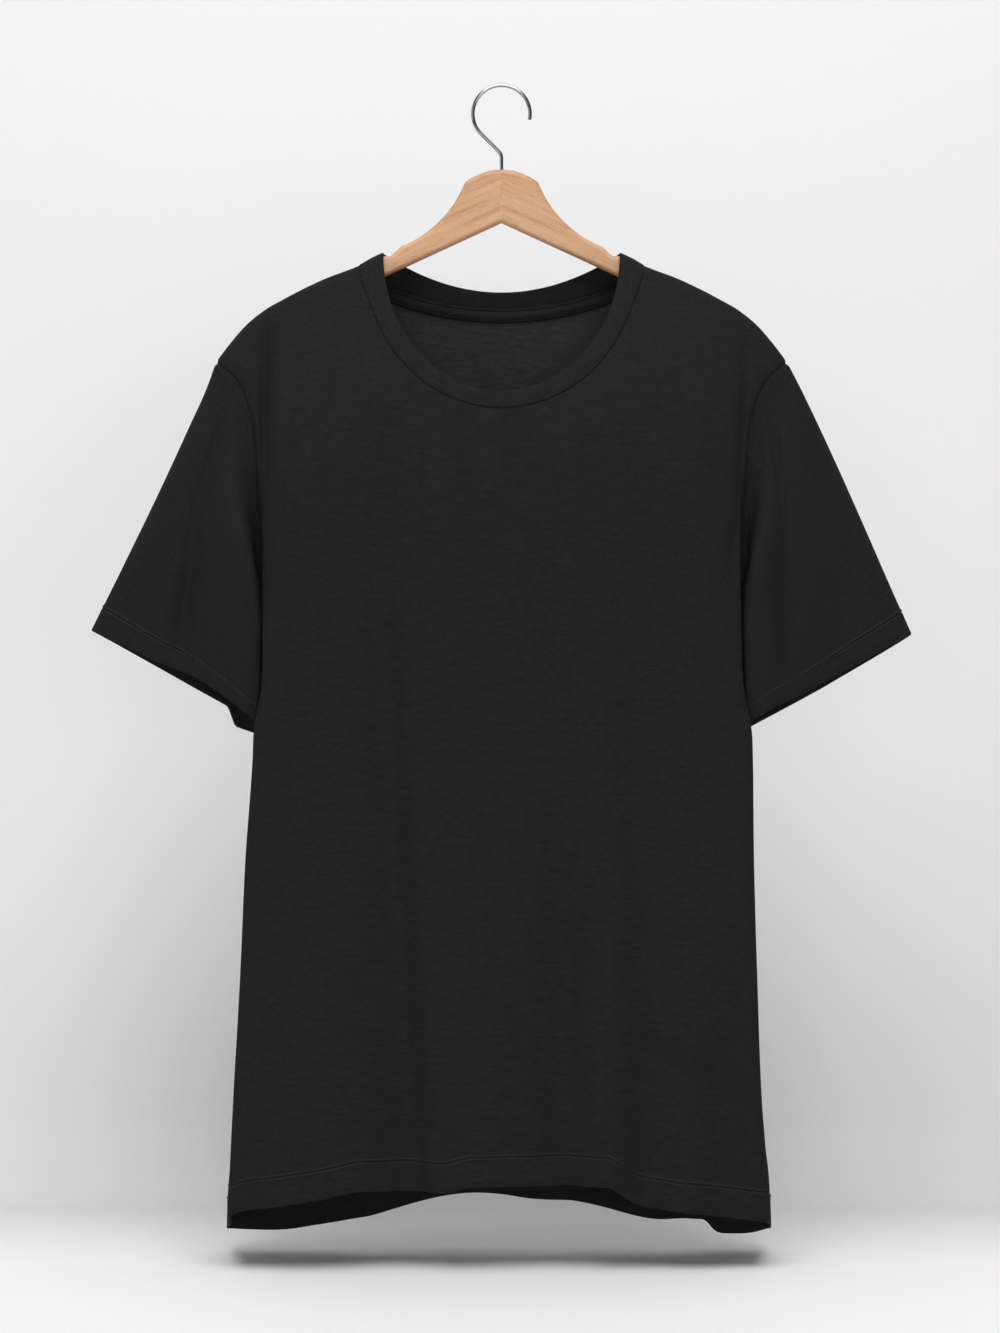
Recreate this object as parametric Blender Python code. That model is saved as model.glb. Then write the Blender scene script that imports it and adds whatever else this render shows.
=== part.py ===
"""Crew neck T-shirt, size L, hanging on a wooden clothes hanger.

Metres, +Z up. The shirt's front faces -Y and X runs across the shoulders. The origin is the inner top of
the hanger's hook, where a rail carries it. Every cloth piece is a thin wall on a sheet of points worked out
from the tables below, and the pieces stand a seam's gap apart.

The body's surface has two coordinates: a share, from -1 at the left side edge to 1 at the right, and a
height. A place near the shoulders is also given by its drop, the distance below the shoulder ridge.
"""

import math
from collections import namedtuple

import bmesh
import bpy
import numpy as np

# ---------------------------------------------------------------- driving sizes
JERSEY = 0.0012  # wall of a jersey panel
RIB = 0.0020  # wall of the folded neck rib
SEAM_GAP = 0.0003
SLEEVE_GAP = 0.0007  # wider, because a sleeve meets the body at an angle
HEM_FOLD = 0.0010  # the turned-up layer inside a hem
BODY_HEM = 0.024
SLEEVE_HEM = 0.0206
TAPE_WIDTH = 0.0100
TAPE_WALL = 0.0010
TAPE_START = 0.0020  # the tape's distance from the neck seam

NECK_HALF = 0.1070  # neck seam, from the middle to the high point of the shoulder
NECK_TOP = -0.1416
NECK_FRONT_DROP = 0.1164
NECK_BACK_DROP = 0.0314
NECK_FLARE = 0.0055  # the seam runs out a little at the top of the shoulder
FLARE_FADE = 40  # how quickly that dies away down the seam: a power of the cosine
NECK_BACK_BOW = 1.3  # how much flatter than an ellipse the back neck starts out
EDGE_HALF = 0.0945  # finished edge of the rib
EDGE_TOP = -0.1325
EDGE_FRONT_DROP = 0.1128
EDGE_BACK_DROP = 0.0295
EDGE_BACK_BOW = 2.0

RIDGE_RADIUS = 0.0085  # the cloth's bend over the hanger's arm
RIDGE_REACH = 0.220  # from the shoulder down to where the body has its full depth
BEND_DEPTH = 0.020  # nearer the side seam than this the bend fades out
FACE_BOW = 0.52  # share of the face's half width over which it stays flat
CORNER_BEND = 0.012
SIDE_BOW = 0.42
SHOULDER_Z = -0.219
HEM_LEVEL = -0.840  # where the hem's table reads its x
SCOOP_Z = -0.360  # where the armhole starts to curve in under the arm
ARMPIT_Z = -0.420
ARMPIT_X = 0.160

Level = namedtuple("Level", "z front back corner_x corner turn")
LEVELS = [
    # height, depth at the middle front and back, the corner fold's x and depth, the cloth's heading there
    Level(-0.100, 0.054, 0.050, 0.186, 0.046, 30),
    Level(-0.219, 0.054, 0.050, 0.188, 0.046, 32),
    Level(-0.260, 0.054, 0.050, 0.190, 0.046, 55),
    Level(-0.300, 0.054, 0.050, 0.191, 0.045, 80),
    Level(-0.360, 0.055, 0.051, 0.193, 0.044, 95),
    Level(-0.420, 0.056, 0.052, 0.1940, 0.043, 112),
    Level(-0.520, 0.057, 0.053, 0.1945, 0.043, 112),
    Level(-0.614, 0.058, 0.054, 0.1983, 0.044, 98),
    Level(-0.701, 0.059, 0.055, 0.2015, 0.045, 90),
    Level(-0.788, 0.060, 0.056, 0.2055, 0.046, 90),
    Level(-0.870, 0.061, 0.057, 0.2105, 0.047, 90),
    Level(-0.930, 0.062, 0.058, 0.2125, 0.047, 90),
]

Sway = namedtuple("Sway", "z x")
SWAYS = [
    # how far the hanging body leans to one side
    Sway(-0.400, 0.0), Sway(-0.520, 0.0010), Sway(-0.614, -0.0015), Sway(-0.701, -0.0022),
    Sway(-0.788, -0.0030), Sway(-0.870, -0.0020), Sway(-0.930, -0.0020),
]

Side = namedtuple("Side", "z x depth")
ARMHOLE = [
    # the armhole's line down to SCOOP_Z
    Side(-0.100, 0.2300, 0.040),
    Side(-0.219, 0.2265, 0.040),
    Side(-0.232, 0.2115, 0.038),
    Side(-0.260, 0.1985, 0.032),
    Side(-0.300, 0.1930, 0.027),
    Side(-0.360, 0.1900, 0.022),
]
SIDE_SEAM = [
    # the side seam is tucked in below the arm and runs out to the hem
    Side(-0.420, 0.1600, 0.0),
    Side(-0.430, 0.1520, 0.0),
    Side(-0.450, 0.1475, 0.0),
    Side(-0.500, 0.1470, 0.0),
    Side(-0.560, 0.1580, 0.0),
    Side(-0.660, 0.1820, 0.0),
    Side(-0.780, 0.2000, 0.0),
    Side(-0.900, 0.2100, 0.0),
    Side(-0.930, 0.2110, 0.0),
]

Ridge = namedtuple("Ridge", "x z")
RIDGE = [
    # the shoulder line, seen from the front
    Ridge(0.000, -0.1325),
    Ridge(0.0945, -0.1325),
    Ridge(0.107, -0.1395),
    Ridge(0.143, -0.1540),
    Ridge(0.173, -0.1690),
    Ridge(0.190, -0.1790),
    Ridge(0.204, -0.1910),
    Ridge(0.2135, -0.2020),
    Ridge(0.2265, -0.2190),
]

Hem = namedtuple("Hem", "place z")
HEM_SIDE = 0.060  # the side's part of a hem's place, from the corner fold to the side seam
FRONT_HEM = [
    # a hem's height by its place: x on the face, then on round the side to the side seam
    Hem(-0.271, -0.9000), Hem(-0.211, -0.8895), Hem(-0.203, -0.8854), Hem(-0.175, -0.8799),
    Hem(-0.136, -0.8730), Hem(-0.106, -0.8675), Hem(-0.044, -0.8680), Hem(-0.020, -0.8632),
    Hem(0.084, -0.8632), Hem(0.093, -0.8685), Hem(0.108, -0.8785), Hem(0.122, -0.8815),
    Hem(0.158, -0.8862), Hem(0.211, -0.8938), Hem(0.271, -0.9005),
]
BACK_HEM = [
    Hem(-0.271, -0.9000), Hem(-0.211, -0.9125), Hem(-0.176, -0.9145), Hem(-0.142, -0.9104),
    Hem(-0.111, -0.9042), Hem(-0.080, -0.8966), Hem(-0.043, -0.8880), Hem(-0.015, -0.8856),
    Hem(0.025, -0.8894), Hem(0.053, -0.8900), Hem(0.085, -0.8977), Hem(0.115, -0.9042),
    Hem(0.153, -0.9058), Hem(0.164, -0.9080), Hem(0.170, -0.9151), Hem(0.180, -0.9175),
    Hem(0.202, -0.9155), Hem(0.211, -0.9125), Hem(0.271, -0.9005),
]

FOLD_START = 0.030  # folds begin this far below the shoulder ridge
FOLD_RUN_OUT = 0.14  # share round the side over which a fold dies away
FOLD_GROWS = 0.40  # share of a fold's length over which it gets its full depth
FOLD_DIES = 0.35  # share over which a fold that ends above the hem dies away
Fold = namedtuple("Fold", "x_top z_top x_low z_low left right depth")
FRONT_FOLDS = [
    # a soft trough (a ridge where depth is below 0) from one point to another, and its spread to each side
    Fold(-0.104, -0.300, -0.078, -0.930, 0.024, 0.012, 0.0075),
    Fold(0.046, -0.560, 0.052, -0.930, 0.022, 0.016, 0.0070),
    Fold(0.092, -0.520, 0.088, -0.930, 0.013, 0.015, -0.0045),
    Fold(0.132, -0.300, 0.124, -0.930, 0.016, 0.016, 0.0050),
    Fold(-0.030, -0.600, -0.022, -0.930, 0.022, 0.022, -0.0030),
    Fold(-0.150, -0.560, -0.150, -0.930, 0.018, 0.020, -0.0030),
    Fold(0.172, -0.620, 0.176, -0.930, 0.014, 0.014, 0.0040),
]
BACK_FOLDS = [
    Fold(-0.090, -0.260, -0.110, -0.930, 0.016, 0.022, 0.0070),
    Fold(-0.020, -0.420, -0.035, -0.930, 0.020, 0.018, -0.0050),
    Fold(0.038, -0.340, 0.045, -0.930, 0.018, 0.018, 0.0065),
    Fold(0.118, -0.280, 0.128, -0.930, 0.022, 0.015, 0.0070),
    Fold(0.086, -0.520, 0.088, -0.930, 0.016, 0.016, -0.0030),
]
SLEEVE_FRONT_FOLDS = [
    Fold(-0.223, -0.230, -0.255, -0.440, 0.012, 0.012, 0.0060),
    Fold(0.226, -0.235, 0.221, -0.470, 0.011, 0.012, 0.0060),
]
SLEEVE_BACK_FOLDS = [
    Fold(-0.226, -0.235, -0.236, -0.460, 0.012, 0.012, 0.0055),
    Fold(0.222, -0.230, 0.246, -0.450, 0.012, 0.012, 0.0055),
]

Sleeve = namedtuple("Sleeve", "along outer_x outer_z under_x under_z front back")
LEFT_SLEEVE = [
    # share of the way to the cuff, the outer fold, the underarm seam, the depth in front and behind
    Sleeve(0.00, 0.2265, -0.2190, 0.1600, -0.4200, 0.0300, 0.0300),
    Sleeve(0.08, 0.2325, -0.2365, 0.1690, -0.4240, 0.0330, 0.0325),
    Sleeve(0.25, 0.2485, -0.2725, 0.1665, -0.4380, 0.0370, 0.0360),
    Sleeve(0.50, 0.2730, -0.3255, 0.1665, -0.4640, 0.0340, 0.0340),
    Sleeve(0.75, 0.2985, -0.3780, 0.1655, -0.4940, 0.0300, 0.0310),
    Sleeve(1.00, 0.3245, -0.4310, 0.1650, -0.5220, 0.0250, 0.0270),
]
RIGHT_SLEEVE = [
    Sleeve(0.00, 0.2265, -0.2190, 0.1600, -0.4200, 0.0300, 0.0300),
    Sleeve(0.08, 0.2355, -0.2365, 0.1690, -0.4240, 0.0330, 0.0325),
    Sleeve(0.25, 0.2535, -0.2740, 0.1665, -0.4380, 0.0370, 0.0360),
    Sleeve(0.50, 0.2785, -0.3290, 0.1665, -0.4640, 0.0340, 0.0340),
    Sleeve(0.75, 0.3015, -0.3815, 0.1655, -0.4940, 0.0300, 0.0310),
    Sleeve(1.00, 0.3245, -0.4340, 0.1650, -0.5230, 0.0250, 0.0270),
]
SLEEVE_LENGTH = 0.235  # along the outer fold
UNDER_PINCH = 0.8  # how much sharper than an ellipse a sleeve is at its underarm seam
UNDER_REACH = 1.4
ARMHOLE_REACH = 0.55  # share of a sleeve over which the armhole's shape fades out
SLEEVE_FOLD_START = 0.20
SEAM_VALLEY = 0.0045  # the sleeve leaves the armhole into a valley, deepest at this share of its length
SEAM_VALLEY_AT = 0.05

Cuff = namedtuple("Cuff", "front_lift back_dip curl start run")
CUFFS = {
    # how a cuff's edge leaves a straight line: up in front, down behind, and a curl that hangs down behind
    # near the underarm, with the share of the way to the outer fold where it starts and runs out
    -1: Cuff(0.0064, 0.0004, 0.0148, 0.402, 0.034),
    1: Cuff(0.0024, 0.0030, 0.0060, 1.0, 1.0),
}

# the hanger
WOOD_HALF = 0.0055
WOOD_ROUND = 0.0038
ARM_SLOPE = 0.46
NOSE_X = 0.1800  # where the top of the arm starts to round off
CROWN_TOP = -0.0658
CROWN_HALF = 0.0290
CROWN_RADIUS = 0.0470
HOLLOW_RADIUS = 0.0920
HOLLOW_END = (0.080, -0.1270)
HOLLOW_SLOPE = math.radians(22)
APEX_Z = -0.1080
ARM_DROP = 0.0019  # from the cloth's ridge line to the top of the arm
GLUE_GAP = 0.0003

WIRE = 0.0015  # radius of the hook's wire
HOOK_RADIUS = 0.0227
HOOK_FREE_END = math.radians(-12)
HOOK_BEND = 0.0070
HOOK_FOOT = -0.0900
BORE_DEPTH = 0.0250

# how finely the sheets are cut
FACE_SHARE = 0.75  # share of a half panel that faces forward, up to its corner fold
FACE_COLUMNS = 14
SIDE_COLUMNS = 5
LOW_ROWS = 13
HIGH_ROWS = 7
BEND_STEPS = (0.0, 0.0033, 0.0066, 0.0100, 0.0155)  # across the bend over the hanger
ARMHOLE_ROWS = 13
SLEEVE_START_ROWS = (0.0, 0.015, 0.04, 0.08, 0.13)  # shares of a sleeve, close together by the armhole
SLEEVE_ROWS = 9
RIB_ROWS = 3

BLACK_JERSEY = (0.020, 0.020, 0.020)
BLACK_RIB = (0.022, 0.022, 0.022)
BEECH = (0.61, 0.35, 0.19)
STEEL = (0.55, 0.55, 0.56)


# ---------------------------------------------------------------- curves and tables
def column(rows, name):
    return np.array([getattr(row, name) for row in rows], float)


def smooth(at, places, values):
    """A smooth curve through a table's points, which never swings past them."""
    if places[0] > places[-1]:
        places, values = places[::-1], values[::-1]
    step = np.diff(places)
    slope = np.diff(values) / step
    tangent = np.concatenate([slope[:1], slope])
    tangent[1:-1] = (slope[:-1] * step[1:] + slope[1:] * step[:-1]) / (step[1:] + step[:-1])
    tangent[1:-1][slope[:-1] * slope[1:] <= 0] = 0.0
    at = np.clip(at, places[0], places[-1])
    i = np.clip(np.searchsorted(places, at) - 1, 0, len(step) - 1)
    t = (at - places[i]) / step[i]
    return (
        values[i] * (1 + 2 * t) * (1 - t) ** 2
        + tangent[i] * step[i] * t * (1 - t) ** 2
        + values[i + 1] * t * t * (3 - 2 * t)
        + tangent[i + 1] * step[i] * t * t * (t - 1)
    )


def read(rows, at, name):
    """A table's value at a place given by its first column."""
    return smooth(at, column(rows, rows[0]._fields[0]), column(rows, name))


def ease(t):
    t = np.clip(t, 0.0, 1.0)
    return t * t * (3 - 2 * t)


def bezier(a, b, c, d, t):
    return a * (1 - t) ** 3 + 3 * b * t * (1 - t) ** 2 + 3 * c * t * t * (1 - t) + d * t**3


def lengths(line):
    return np.concatenate([[0], np.cumsum(np.linalg.norm(np.diff(line, axis=0), axis=1))])


def bend_then_even(total, count):
    """Distances along an edge that starts on the shoulder: close together over the bend, then even."""
    rest = np.linspace(BEND_STEPS[-1], total, count - len(BEND_STEPS) + 2)
    return np.concatenate([BEND_STEPS, rest[1:]])


# ---------------------------------------------------------------- the body's surface
def ridge_z(x):
    return read(RIDGE, np.abs(x), "z")


def hang(depth, drop):
    """Depth of the cloth at a drop below the shoulder ridge, where it hangs free at the given depth lower
    down: it bends round the hanger's arm and then slopes out."""
    drop = np.maximum(drop, 0.0)
    bend = RIDGE_RADIUS * np.sqrt(1 - (1 - np.minimum(drop / RIDGE_RADIUS, 1.0)) ** 2)
    slope = 1 - (1 - np.minimum(drop / RIDGE_REACH, 1.0)) ** 2
    held = ease(depth / BEND_DEPTH)
    return bend * held + (depth - RIDGE_RADIUS * held) * slope


def side_edge(z):
    """x and depth of a panel's side edge: armhole above the armpit, side seam below it."""
    scoop = np.sqrt(np.clip(1 - ((SCOOP_Z - z) / (SCOOP_Z - ARMPIT_Z)) ** 2, 0, 1))
    last = ARMHOLE[-1]
    above, below = z >= SCOOP_Z, z <= ARMPIT_Z
    x = np.where(below, read(SIDE_SEAM, z, "x"), ARMPIT_X + (last.x - ARMPIT_X) * scoop)
    depth = np.where(below, 0.0, last.depth * scoop)
    return np.where(above, read(ARMHOLE, z, "x"), x), np.where(above, read(ARMHOLE, z, "depth"), depth)


def fold_depth(x, z, folds):
    """How far the cloth sinks in at a place: the sum of the soft folds."""
    total = np.zeros_like(x)
    for fold in folds:
        run = np.clip((fold.z_top - z) / (fold.z_top - fold.z_low), 0, 1)
        centre = fold.x_top + (fold.x_low - fold.x_top) * run
        fade = ease(run / FOLD_GROWS)
        if fold.z_low > HEM_LEVEL:
            fade *= ease((1 - run) / FOLD_DIES)
        spread = np.where(x < centre, fold.left, fold.right)
        total += fold.depth * fade * np.exp(-0.5 * ((x - centre) / spread) ** 2)
    return total


def section(share, z, back):
    """x and full depth of the body's level outline: the front or back face, the corner fold, the side."""
    t = np.abs(share)
    middle = read(LEVELS, z, "back" if back else "front")
    thin = middle / read(LEVELS, z, "front")
    heading = np.radians(read(LEVELS, z, "turn"))
    way_x, way_in = np.cos(heading), np.sin(heading)
    corner_x, corner = read(LEVELS, z, "corner_x"), read(LEVELS, z, "corner") * thin
    edge_x, edge = side_edge(z)
    edge = edge * thin
    reach = SIDE_BOW * np.hypot(edge_x - corner_x, edge - corner)
    straight = ease((SHOULDER_Z - z) / (SHOULDER_Z - SCOOP_Z))
    out_x, out_in = way_x * (1 - straight), way_in * (1 - straight) + straight
    size = np.hypot(out_x, out_in)
    face, side = np.clip(t / FACE_SHARE, 0, 1), np.clip((t - FACE_SHARE) / (1 - FACE_SHARE), 0, 1)
    on_face = t <= FACE_SHARE
    x = np.where(
        on_face,
        bezier(0.0, FACE_BOW * corner_x, corner_x - CORNER_BEND * way_x, corner_x, face),
        bezier(corner_x, corner_x + reach * way_x, edge_x - reach * out_x / size, edge_x, side),
    )
    depth = np.where(
        on_face,
        bezier(middle, middle, corner + CORNER_BEND * way_in, corner, face),
        bezier(corner, corner - reach * way_in, edge + reach * out_in / size, edge, side),
    )
    return x, depth


def body_surface(share, z, back):
    """Points of the body's middle surface."""
    share, z = np.broadcast_arrays(np.asarray(share, float), np.asarray(z, float))
    x, depth = section(share, z, back)
    drop = ridge_z(x) - z
    x = np.copysign(x, share) + read(SWAYS, z, "x")
    depth = hang(depth, drop)
    inside = 1 - ease((np.abs(share) - FACE_SHARE) / FOLD_RUN_OUT)
    depth -= fold_depth(x, z, BACK_FOLDS if back else FRONT_FOLDS) * inside * ease(drop / FOLD_START)
    return np.stack([x, depth if back else -depth, z], axis=-1)


def solve(test, low, high):
    """Halves an interval until it closes on the place where test turns from true to false."""
    for _ in range(36):
        middle = (low + high) / 2
        right = test(middle)
        low, high = np.where(right, middle, low), np.where(right, high, middle)
    return (low + high) / 2


def height_of(share, drop, back):
    """Height of the point at a share and a drop below the shoulder ridge."""
    share, drop = np.broadcast_arrays(np.asarray(share, float), np.asarray(drop, float))
    low, high = np.full(share.shape, -0.480), np.full(share.shape, -0.100)
    return solve(lambda z: z + drop < ridge_z(section(share, z, back)[0]), low, high)


def share_of(x, z, back):
    """Share of the point of the forward face at an x and a height."""
    low, high = np.zeros(x.shape), np.full(x.shape, FACE_SHARE)
    return np.copysign(solve(lambda share: section(share, z, back)[0] < np.abs(x), low, high), x)


def surface_y(x, z, back):
    """Depth of the forward face at an x and a height, near the neck."""
    depth = hang(section(share_of(x, z, back), z, back)[1], ridge_z(x) - z)
    return depth if back else -depth


# ---------------------------------------------------------------- the lines that pieces meet on
def neck_loop(half_width, flare, top, drop, bow, angle, back):
    """Points round one half of a neck opening: angle 0 is the right shoulder, pi the left."""
    x = half_width * np.cos(angle)
    x += np.copysign(flare * np.cos(angle) ** FLARE_FADE, x)
    z = top - drop * np.abs(np.sin(angle)) ** bow
    z = np.minimum(z, ridge_z(x))
    return np.stack([x, surface_y(x, z, back), z], axis=-1)


def neck_seam(angle, back):
    if back:
        return neck_loop(NECK_HALF, NECK_FLARE, NECK_TOP, NECK_BACK_DROP, NECK_BACK_BOW, angle, True)
    return neck_loop(NECK_HALF, NECK_FLARE, NECK_TOP, NECK_FRONT_DROP, 1.0, angle, False)


def rib_edge(angle, back):
    if back:
        return neck_loop(EDGE_HALF, 0.0, EDGE_TOP, EDGE_BACK_DROP, EDGE_BACK_BOW, angle, True)
    return neck_loop(EDGE_HALF, 0.0, EDGE_TOP, EDGE_FRONT_DROP, 1.0, angle, False)


def neck_angles(back):
    """Angles of the neck seam's points, from the left shoulder round to the right."""
    fine = np.linspace(0, math.pi / 2, 400)
    run = lengths(neck_seam(fine, back))
    quarter = np.interp(bend_then_even(run[-1], ARMHOLE_ROWS + FACE_COLUMNS), run, fine)
    return np.concatenate([math.pi - quarter, quarter[-2::-1]])


def edge_heights(share, back):
    """Heights of the points down the line of one share, from the shoulder ridge to the armpit's level."""
    top = float(height_of(share, 0.0, back))
    fine = top + (ARMPIT_Z - top) * np.sin(np.linspace(0, math.pi / 2, 300))
    run = lengths(body_surface(share, fine, back))
    heights = np.interp(bend_then_even(run[-1], ARMHOLE_ROWS), run, fine)
    heights[-1] = ARMPIT_Z
    return heights


def panel_shares():
    face = np.linspace(-FACE_SHARE, FACE_SHARE, 2 * FACE_COLUMNS + 1)
    side = np.linspace(FACE_SHARE, 1, SIDE_COLUMNS + 1)
    return np.concatenate([-side[:0:-1], face, side[1:]])


# ---------------------------------------------------------------- building walls
def pull(points, inside, gap=SEAM_GAP):
    """Moves points on a seam a gap back towards the points inside them."""
    step = inside - points
    return points + step / np.linalg.norm(step, axis=-1, keepdims=True) * gap


def grid_quads(grid, closed=False):
    """Quads of a grid of points, rows first, as point numbers."""
    index = np.arange(grid.shape[0] * grid.shape[1]).reshape(grid.shape[:2])
    if closed:
        index = np.concatenate([index, index[:, :1]], axis=1)
    corners = (index[:-1, :-1], index[:-1, 1:], index[1:, 1:], index[1:, :-1])
    return np.stack(corners, axis=-1).reshape(-1, 4)


def wall(name, points, quads, outer, inner, paint):
    """A closed thin solid: a sheet of quads moved out by outer and in by inner, with its edges filled."""
    corner = points[quads]
    normal = np.cross(corner[:, 2] - corner[:, 0], corner[:, 3] - corner[:, 1])
    normals = np.zeros_like(points)
    for k in range(4):
        np.add.at(normals, quads[:, k], normal)
    normals /= np.linalg.norm(normals, axis=1, keepdims=True)
    outer = np.broadcast_to(np.asarray(outer, float), len(points))
    inner = np.broadcast_to(np.asarray(inner, float), len(points))
    mesh = bmesh.new()
    skins = [
        [mesh.verts.new(p) for p in points + normals * outer[:, None]],
        [mesh.verts.new(p) for p in points - normals * inner[:, None]],
    ]
    edges = {}
    for number, (a, b, c, d) in enumerate(quads.tolist()):
        halves = ((a, b, c), (a, c, d)) if number % 2 else ((a, b, d), (b, c, d))
        for half in halves:
            mesh.faces.new([skins[0][k] for k in half])
            mesh.faces.new([skins[1][k] for k in half[::-1]])
        for edge in ((a, b), (b, c), (c, d), (d, a)):
            edges[edge] = True
    for a, b in edges:
        if (b, a) not in edges:
            mesh.faces.new((skins[0][b], skins[0][a], skins[1][a], skins[1][b]))
    return finish_mesh(name, mesh, paint)


def finish_mesh(name, mesh, paint):
    data = bpy.data.meshes.new(name)
    mesh.to_mesh(data)
    mesh.free()
    data.shade_smooth()
    data.set_sharp_from_angle(angle=math.radians(40))
    data.materials.append(paint)
    made = bpy.data.objects.new(name, data)
    bpy.context.scene.collection.objects.link(made)
    return made


def material(name, colour, roughness, metallic=0.0):
    made = bpy.data.materials.new(name)
    made.use_nodes = True
    surface = made.node_tree.nodes["Principled BSDF"]
    surface.inputs["Base Color"].default_value = (*colour, 1.0)
    surface.inputs["Roughness"].default_value = roughness
    surface.inputs["Metallic"].default_value = metallic
    made.diffuse_color = (*colour, 1.0)
    return made


# ---------------------------------------------------------------- the shirt's pieces
def hem_height(shares, back):
    """Height of the hem at a share: its place is its x on the face, and runs on round the side."""
    x = section(np.minimum(np.abs(shares), FACE_SHARE), HEM_LEVEL, back)[0]
    place = x + HEM_SIDE * np.clip((np.abs(shares) - FACE_SHARE) / (1 - FACE_SHARE), 0, 1)
    return read(BACK_HEM if back else FRONT_HEM, np.copysign(place, shares), "z")


def lower_patch(back):
    """The panel below the armpit, rows from the hem up. The first three rows are the hem's band."""
    shares = panel_shares()
    hem = hem_height(shares, back)
    band = hem + BODY_HEM
    rows = [hem, hem + BODY_HEM / 2, band]
    rows += [band + (ARMPIT_Z - band) * k / LOW_ROWS for k in range(1, LOW_ROWS + 1)]
    grid = np.array([body_surface(shares, z, back) for z in rows])
    grid[:, 0] = pull(grid[:, 0], grid[:, 1])
    grid[:, -1] = pull(grid[:, -1], grid[:, -2])
    return grid


def face_patch(back):
    """The panel's face above the armpit, rows from the neck seam out to the corner folds and down to the
    armpit's level. The first row ends where the neck tape does."""
    seam = neck_seam(neck_angles(back), back)
    share = share_of(seam[:, 0], seam[:, 2], back)
    drop = ridge_z(seam[:, 0]) - seam[:, 2]
    fold = edge_heights(FACE_SHARE, back)
    across = np.linspace(-FACE_SHARE, FACE_SHARE, 2 * FACE_COLUMNS + 1)
    edge = np.full(ARMHOLE_ROWS, FACE_SHARE)
    rim_share = np.concatenate([-edge, across, edge])
    rim_z = np.concatenate([fold[:-1], np.full(len(across), ARMPIT_Z), fold[-2::-1]])
    rim = body_surface(rim_share, rim_z, back)
    rim_drop = ridge_z(section(rim_share, rim_z, back)[0]) - rim_z
    first = (TAPE_START + TAPE_WIDTH) / np.linalg.norm(rim - seam, axis=1)
    steps = [0 * first] + [first + (1 - first) * k / HIGH_ROWS for k in range(HIGH_ROWS + 1)]
    rows = []
    for step in steps:
        at_share, at_drop = share + (rim_share - share) * step, drop + (rim_drop - drop) * step
        rows.append(body_surface(at_share, height_of(at_share, at_drop, back), back))
    grid = np.array(rows)
    grid[0], grid[-1] = seam, rim
    grid[:, 0] = pull(grid[:, 0], grid[:, 1])
    grid[:, -1] = pull(grid[:, -1], grid[:, -2])
    grid[0] = pull(grid[0], grid[1])
    return grid


def side_patch(side_x, back):
    """The strip from the corner fold round to the armhole, rows from the ridge to the armpit's level."""
    fold, hole = edge_heights(FACE_SHARE, back), edge_heights(1.0, back)
    fold_drop = ridge_z(section(FACE_SHARE, fold, back)[0]) - fold
    hole_drop = ridge_z(section(1.0, hole, back)[0]) - hole
    columns = []
    for k in range(SIDE_COLUMNS + 1):
        step = k / SIDE_COLUMNS
        share = np.full(len(fold), FACE_SHARE + (1 - FACE_SHARE) * step)
        z = height_of(share, fold_drop + (hole_drop - fold_drop) * step, back)
        z[-1] = ARMPIT_Z
        columns.append(body_surface(share * side_x, z, back))
    columns[0] = body_surface(FACE_SHARE * side_x, fold, back)
    columns[-1] = body_surface(side_x, hole, back)
    grid = np.array(columns).transpose(1, 0, 2)
    grid[0] = pull(grid[0], grid[1])
    grid[:, -1] = pull(grid[:, -1], grid[:, -2])
    return grid


def panel_sheet(back):
    """A body panel's points and quads: its patches, joined where they share an edge."""
    patches = [
        lower_patch(back),
        face_patch(back)[::-1],
        side_patch(-1, back)[::-1, ::-1],
        side_patch(1, back)[::-1],
    ]
    quads, start = [], 0
    for grid in patches:
        quads.append(grid_quads(grid) + start)
        start += grid.shape[0] * grid.shape[1]
    points = np.concatenate([grid.reshape(-1, 3) for grid in patches])
    _, first, number = np.unique(np.round(points, 6), axis=0, return_index=True, return_inverse=True)
    quads = number.ravel()[np.concatenate(quads)]
    hem_points = number.ravel()[: 3 * len(panel_shares())]
    return points[first], quads[:, ::-1] if back else quads, hem_points


def body_panel(name, back, paint):
    points, quads, hem_points = panel_sheet(back)
    inner = np.full(len(points), JERSEY / 2)
    inner[hem_points] += HEM_FOLD
    return wall(name, points, quads, JERSEY / 2, inner, paint)


def armhole(side_x):
    """The armhole's points, from the shoulder down the front to the armpit, and up the back."""
    front = body_surface(side_x, edge_heights(1.0, False), False)
    behind = body_surface(side_x, edge_heights(1.0, True), True)
    return np.concatenate([front, behind[-2:0:-1]])


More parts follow.
